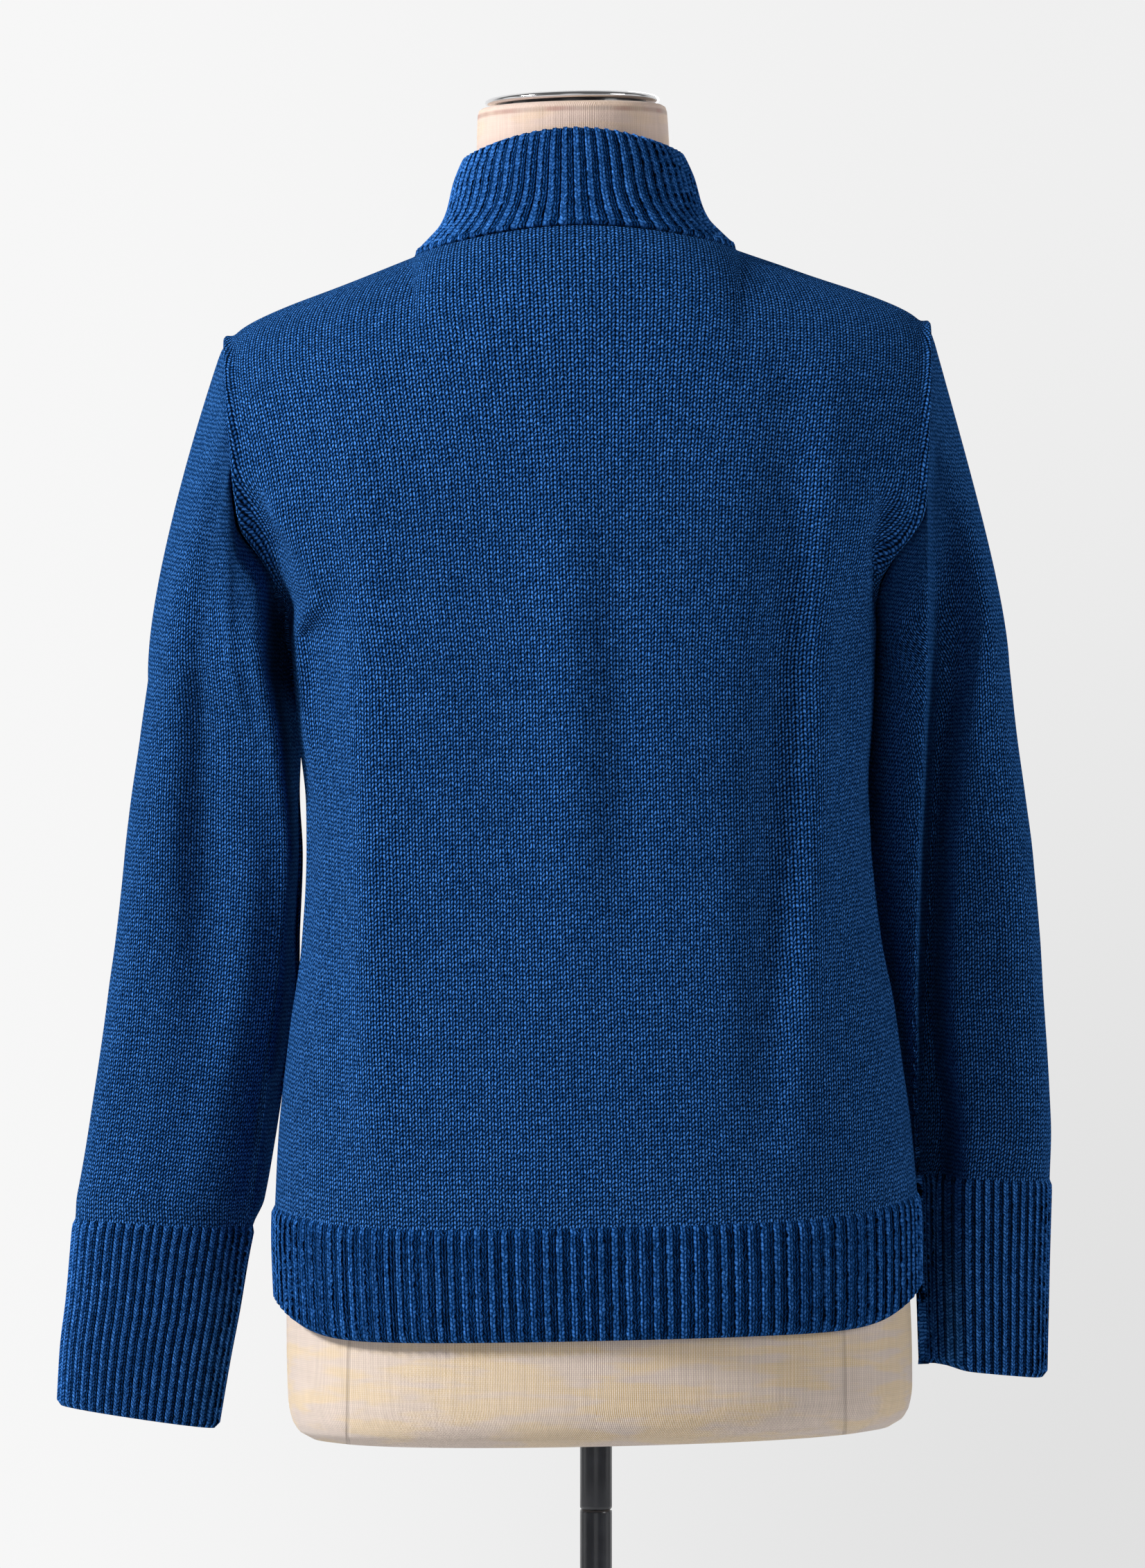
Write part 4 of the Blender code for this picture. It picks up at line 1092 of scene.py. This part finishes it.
up = np.linspace(0, 1, 31)[:, None]
last = pi - np.arcsin(BAND_HALF / collar_half(up))
share = np.linspace(0, 1, COLLAR_RIBS * 9 + 1)[None]
half = collar(last * share, up + 0 * share)
grid = joined(mirrored(half), half)
across = np.linspace(COLLAR_RIBS, -COLLAR_RIBS, grid.shape[1])[None] + 0 * up
ribs = ribbing(across)
rise = run(grid, 0)
left = rise[-1:] - rise
edge = rounded_edge(left)
ragged = 0.5 + 0.3 * np.sin(across * 7.3) + 0.2 * np.sin(across * 17.9 + 1.3)
linked = bell(rise - 0.0022, 0.0015) * (0.0007 + 0.0012 * ragged)
relief = RIB_TALL * (ribs * unit(rise / 0.006) * edge - 0.5 * (1 - edge)) + linked
grid = grid + (0, 0, 1) * (0.0012 * ribs * unit(1 - left / 0.012))[..., None]
uv = grid_of(across, rise / COLLAR_COURSE)
piece = knitted("collar_ribbing", grid, 0, relief, RIB, False, uv, collar_yarn, "blue_rib", "collar_rib")


# ---- Bands
# Two upright strips of ribbing down the middle of the front, hem to collar. The right one, with the
# buttonholes, laps over the left one.

GAP, LAP, BAND_TALL = 0.0003, 0.004, 0.0005


def band_grid(columns):
    """The front's middle from the hem's edge to the collar's, at the given distances from the middle."""
    x = np.array(columns)[None]
    height = (np.linspace(HEM_BOTTOM, HEM_TOP, 24)[:-1], np.linspace(HEM_TOP, UNDERARM, 110)[:-1])
    low = lower_body(x, np.concatenate(height)[:, None], True)
    middle = upper_body(x, x, RISES[:, None], True)
    up = np.linspace(0, 1, 26)[1:, None]
    high = collar(pi - np.arcsin(x / collar_half(up)), up + 0 * x)
    return np.concatenate((low, middle, high))


for node, low, out, under in (("button_band", -BAND_HALF, 0, "linen_torso"),
                              ("buttonhole_band", -BAND_HALF - LAP, GAP + RIB, "button_band_ribbing")):
    grid = band_grid(np.linspace(low, BAND_HALF, 45))
    grid = grid + outward(grid, False) * out
    across = (grid[..., 0] - low) / HEM_RIB * 1.02
    edge = rounded_edge(np.minimum(grid[..., 0] - low, BAND_HALF - grid[..., 0]), 0.0016)
    relief = BAND_TALL * (ribbing(across) * edge - 1.6 * (1 - edge)) * (1 if out else 0)
    uv = grid_of(across, run(grid, 0) / COURSE)
    piece = knitted(node + "_ribbing", grid, 0, relief, RIB, False, uv, ribbed, "blue_rib", node)


# ---- Buttons
# Eight polished buttons dyed to match, each dished and with a rolled rim. Two loops of thread hold each of
# them on the bands, from the hem to the collar.

BUTTONS, LOWEST_BUTTON, BUTTON_STEP = 8, 0.600, 0.0850
BUTTON_RADIUS, BUTTON_THICK, BUTTON_REST = 0.0095, 0.0034, 0.0006
SEWING_THREAD = 0.00042
horn = Finish("blue_horn", IOR=1.53, Coat_Weight=0.4, Coat_Roughness=0.08)
grain = horn.noise(horn.place(), 220.0, 4.0, (1, 1, 0.3))
horn.colour(horn.mix(grain.ramp(0.35, 0.70), (0.006, 0.022, 0.075), (0.020, 0.060, 0.165)))
horn.rough(0.22 + 0.12 * grain)
horn.bump(horn.noise(horn.place(), 700.0, 2.0), 0.00003)
sewing = Finish("sewing_thread", Roughness=0.8)
strand = sewing.noise(sewing.place(), 2500.0, 2.0).ramp(0.3, 0.7)
sewing.colour(sewing.mix(strand, (0.008, 0.030, 0.100), (0.022, 0.080, 0.230)))
sewing.bump(sewing.noise(sewing.place(), 4000.0, 1.0), 0.0001)

R, H = BUTTON_RADIUS, BUTTON_THICK / 2
button = turned([(0, 0.35 * H), (0.42 * R, 0.33 * H), (0.62 * R, 0.45 * H), (0.72 * R, 0.86 * H),
                 (0.80 * R, H), (0.90 * R, 0.93 * H), (0.975 * R, 0.6 * H), (R, 0.1 * H),
                 (0.985 * R, -0.4 * H), (0.93 * R, -0.85 * H), (0.84 * R, -H), (0, -H)], 56)
lap = band_grid((-BAND_HALF - LAP, -BAND_HALF, 0, BAND_HALF))
away = outward(lap, False)
for number in range(BUTTONS):
    height = LOWEST_BUTTON + number * BUTTON_STEP
    spot, normal = (np.array([np.interp(height, lap[:, 2, 2], part[:, 2, k]) for k in range(3)])
                    for part in (lap, away))
    normal = lean(normal / np.linalg.norm(normal) + (0, 0, LEAN_HEIGHT)) - (0, 0, LEAN_HEIGHT)
    side_way = np.cross((0, 0, 1), normal)
    side_way /= np.linalg.norm(side_way)
    axes = np.stack((side_way, np.cross(normal, side_way), normal))
    middle = lean(spot) + normal * (RIB + 2 * GAP + BUTTON_REST + BUTTON_THICK / 2)
    points, faces, _ = mesh_from_grid(button, True)
    node = f"button_{number + 1}"
    add_piece(node + "_disc", points @ axes + middle, faces, None, horn, "blue_button", node)
    stitches = []
    for across_x in (-0.0016, 0.0016):
        t = np.linspace(0, pi, 14)
        raised = 0.0004 + 0.0010 * np.sin(t) - 0.0003 * (np.cos(2 * t) + 1)
        path = grid_of(across_x, -0.0019 * np.cos(t), raised)
        ring = np.linspace(0, 2 * pi, 9)[:-1]
        tangent = np.gradient(path, axis=0)
        tangent /= np.linalg.norm(tangent, axis=1, keepdims=True)
        other = np.cross(tangent, (1.0, 0, 0))[:, None]
        round_it = np.cos(ring)[:, None] * (1.0, 0, 0) + np.sin(ring)[:, None] * other
        tube = path[:, None] + SEWING_THREAD * round_it
        cap = [np.broadcast_to(path[k], tube[k].shape) for k in (0, -1)]
        stitches.append(mesh_from_grid(np.concatenate((cap[0][None], tube, cap[1][None])), True))
    points = np.concatenate([s[0] for s in stitches])
    faces = np.concatenate([s[1] + k * len(stitches[0][0]) for k, s in enumerate(stitches)])
    add_piece(node + "_thread", points @ axes + middle, faces, None, sewing, "blue_rib")


# ---- Studio
# A pale round floor under a dim sky with bright panels, the widest of them before the garment. A strong soft
# light stands above and to the wearer's left of the back, with weaker ones to the other side and in front.

CAMERA_OFF, VIEW_WIDE, SENSOR = 4.6, 0.6773, 36
FLOOR_WIDE, FLOOR_LOW = 4.2, -0.0005
SKY_LOW = 0.13          # the sky's strength between its panels
camera = put("camera", bpy.data.cameras.new("camera"))
camera.location = (0.0139, CAMERA_OFF, 0.895)
camera.rotation_euler = (pi / 2, 0, pi)
camera.data.sensor_fit = "HORIZONTAL"
camera.data.lens = SENSOR * CAMERA_OFF / VIEW_WIDE
camera.data.clip_end = 30
bpy.context.scene.camera = camera

paper = Finish("pale_paper", Roughness=0.9, Specular_IOR_Level=0.1)
paper.colour((0.68, 0.68, 0.685, 1))
disc = turned([(0, FLOOR_LOW), (1.5, FLOOR_LOW), (FLOOR_WIDE, FLOOR_LOW)], 120)
points, faces, _ = mesh_from_grid(disc, True)
floor_mesh = bpy.data.meshes.new("floor")
floor_mesh.from_pydata(points.tolist(), [], faces.tolist())
floor_mesh.materials.append(paper.material)
put("floor", floor_mesh)


def area_light(name, place, aim, size, power):
    """A soft round light that faces the point aimed at; power is in watts."""
    lamp = put(name, bpy.data.lights.new(name, "AREA"))
    lamp.data.shape, lamp.data.size, lamp.data.energy = "DISK", size, power
    lamp.location = place
    away = np.subtract(place, aim)
    lamp.rotation_euler = (atan2(np.hypot(away[0], away[1]), away[2]), 0, atan2(away[1], away[0]) + pi / 2)


area_light("key", (2.55, 1.25, 2.50), (0, 0, 1.08), 0.8, 138)
area_light("fill", (-2.9, 1.5, 1.7), (0, 0, 1.0), 1.3, 31)
area_light("front_light", (-0.8, -3.2, 1.6), (0, 0, 0.9), 1.6, 45)
sky = Sky("studio")
facing = sky.node("ShaderNodeTexCoord", output="Generated")
x, y, z = sky.axes(facing)
panel = (0 - y).ramp(0.30, 0.70).most(y.most(abs(x)).ramp(0.95, 0.99)).most((0 - z).ramp(0.15, 0.19))
across, up = x.ramp(-0.085, 0.085), z.ramp(-0.10, 0.10)
glow = 0.745 + 0.185 * across + 0.12 * up * (1 - across)
sky.join(sky.shader.inputs["Strength"], SKY_LOW * (1 - panel) + panel * glow)
sky.join(sky.shader.inputs["Color"], (1, 1, 1, 1))
bpy.context.scene.world = sky.world
bpy.context.scene.view_settings.view_transform = "Standard"
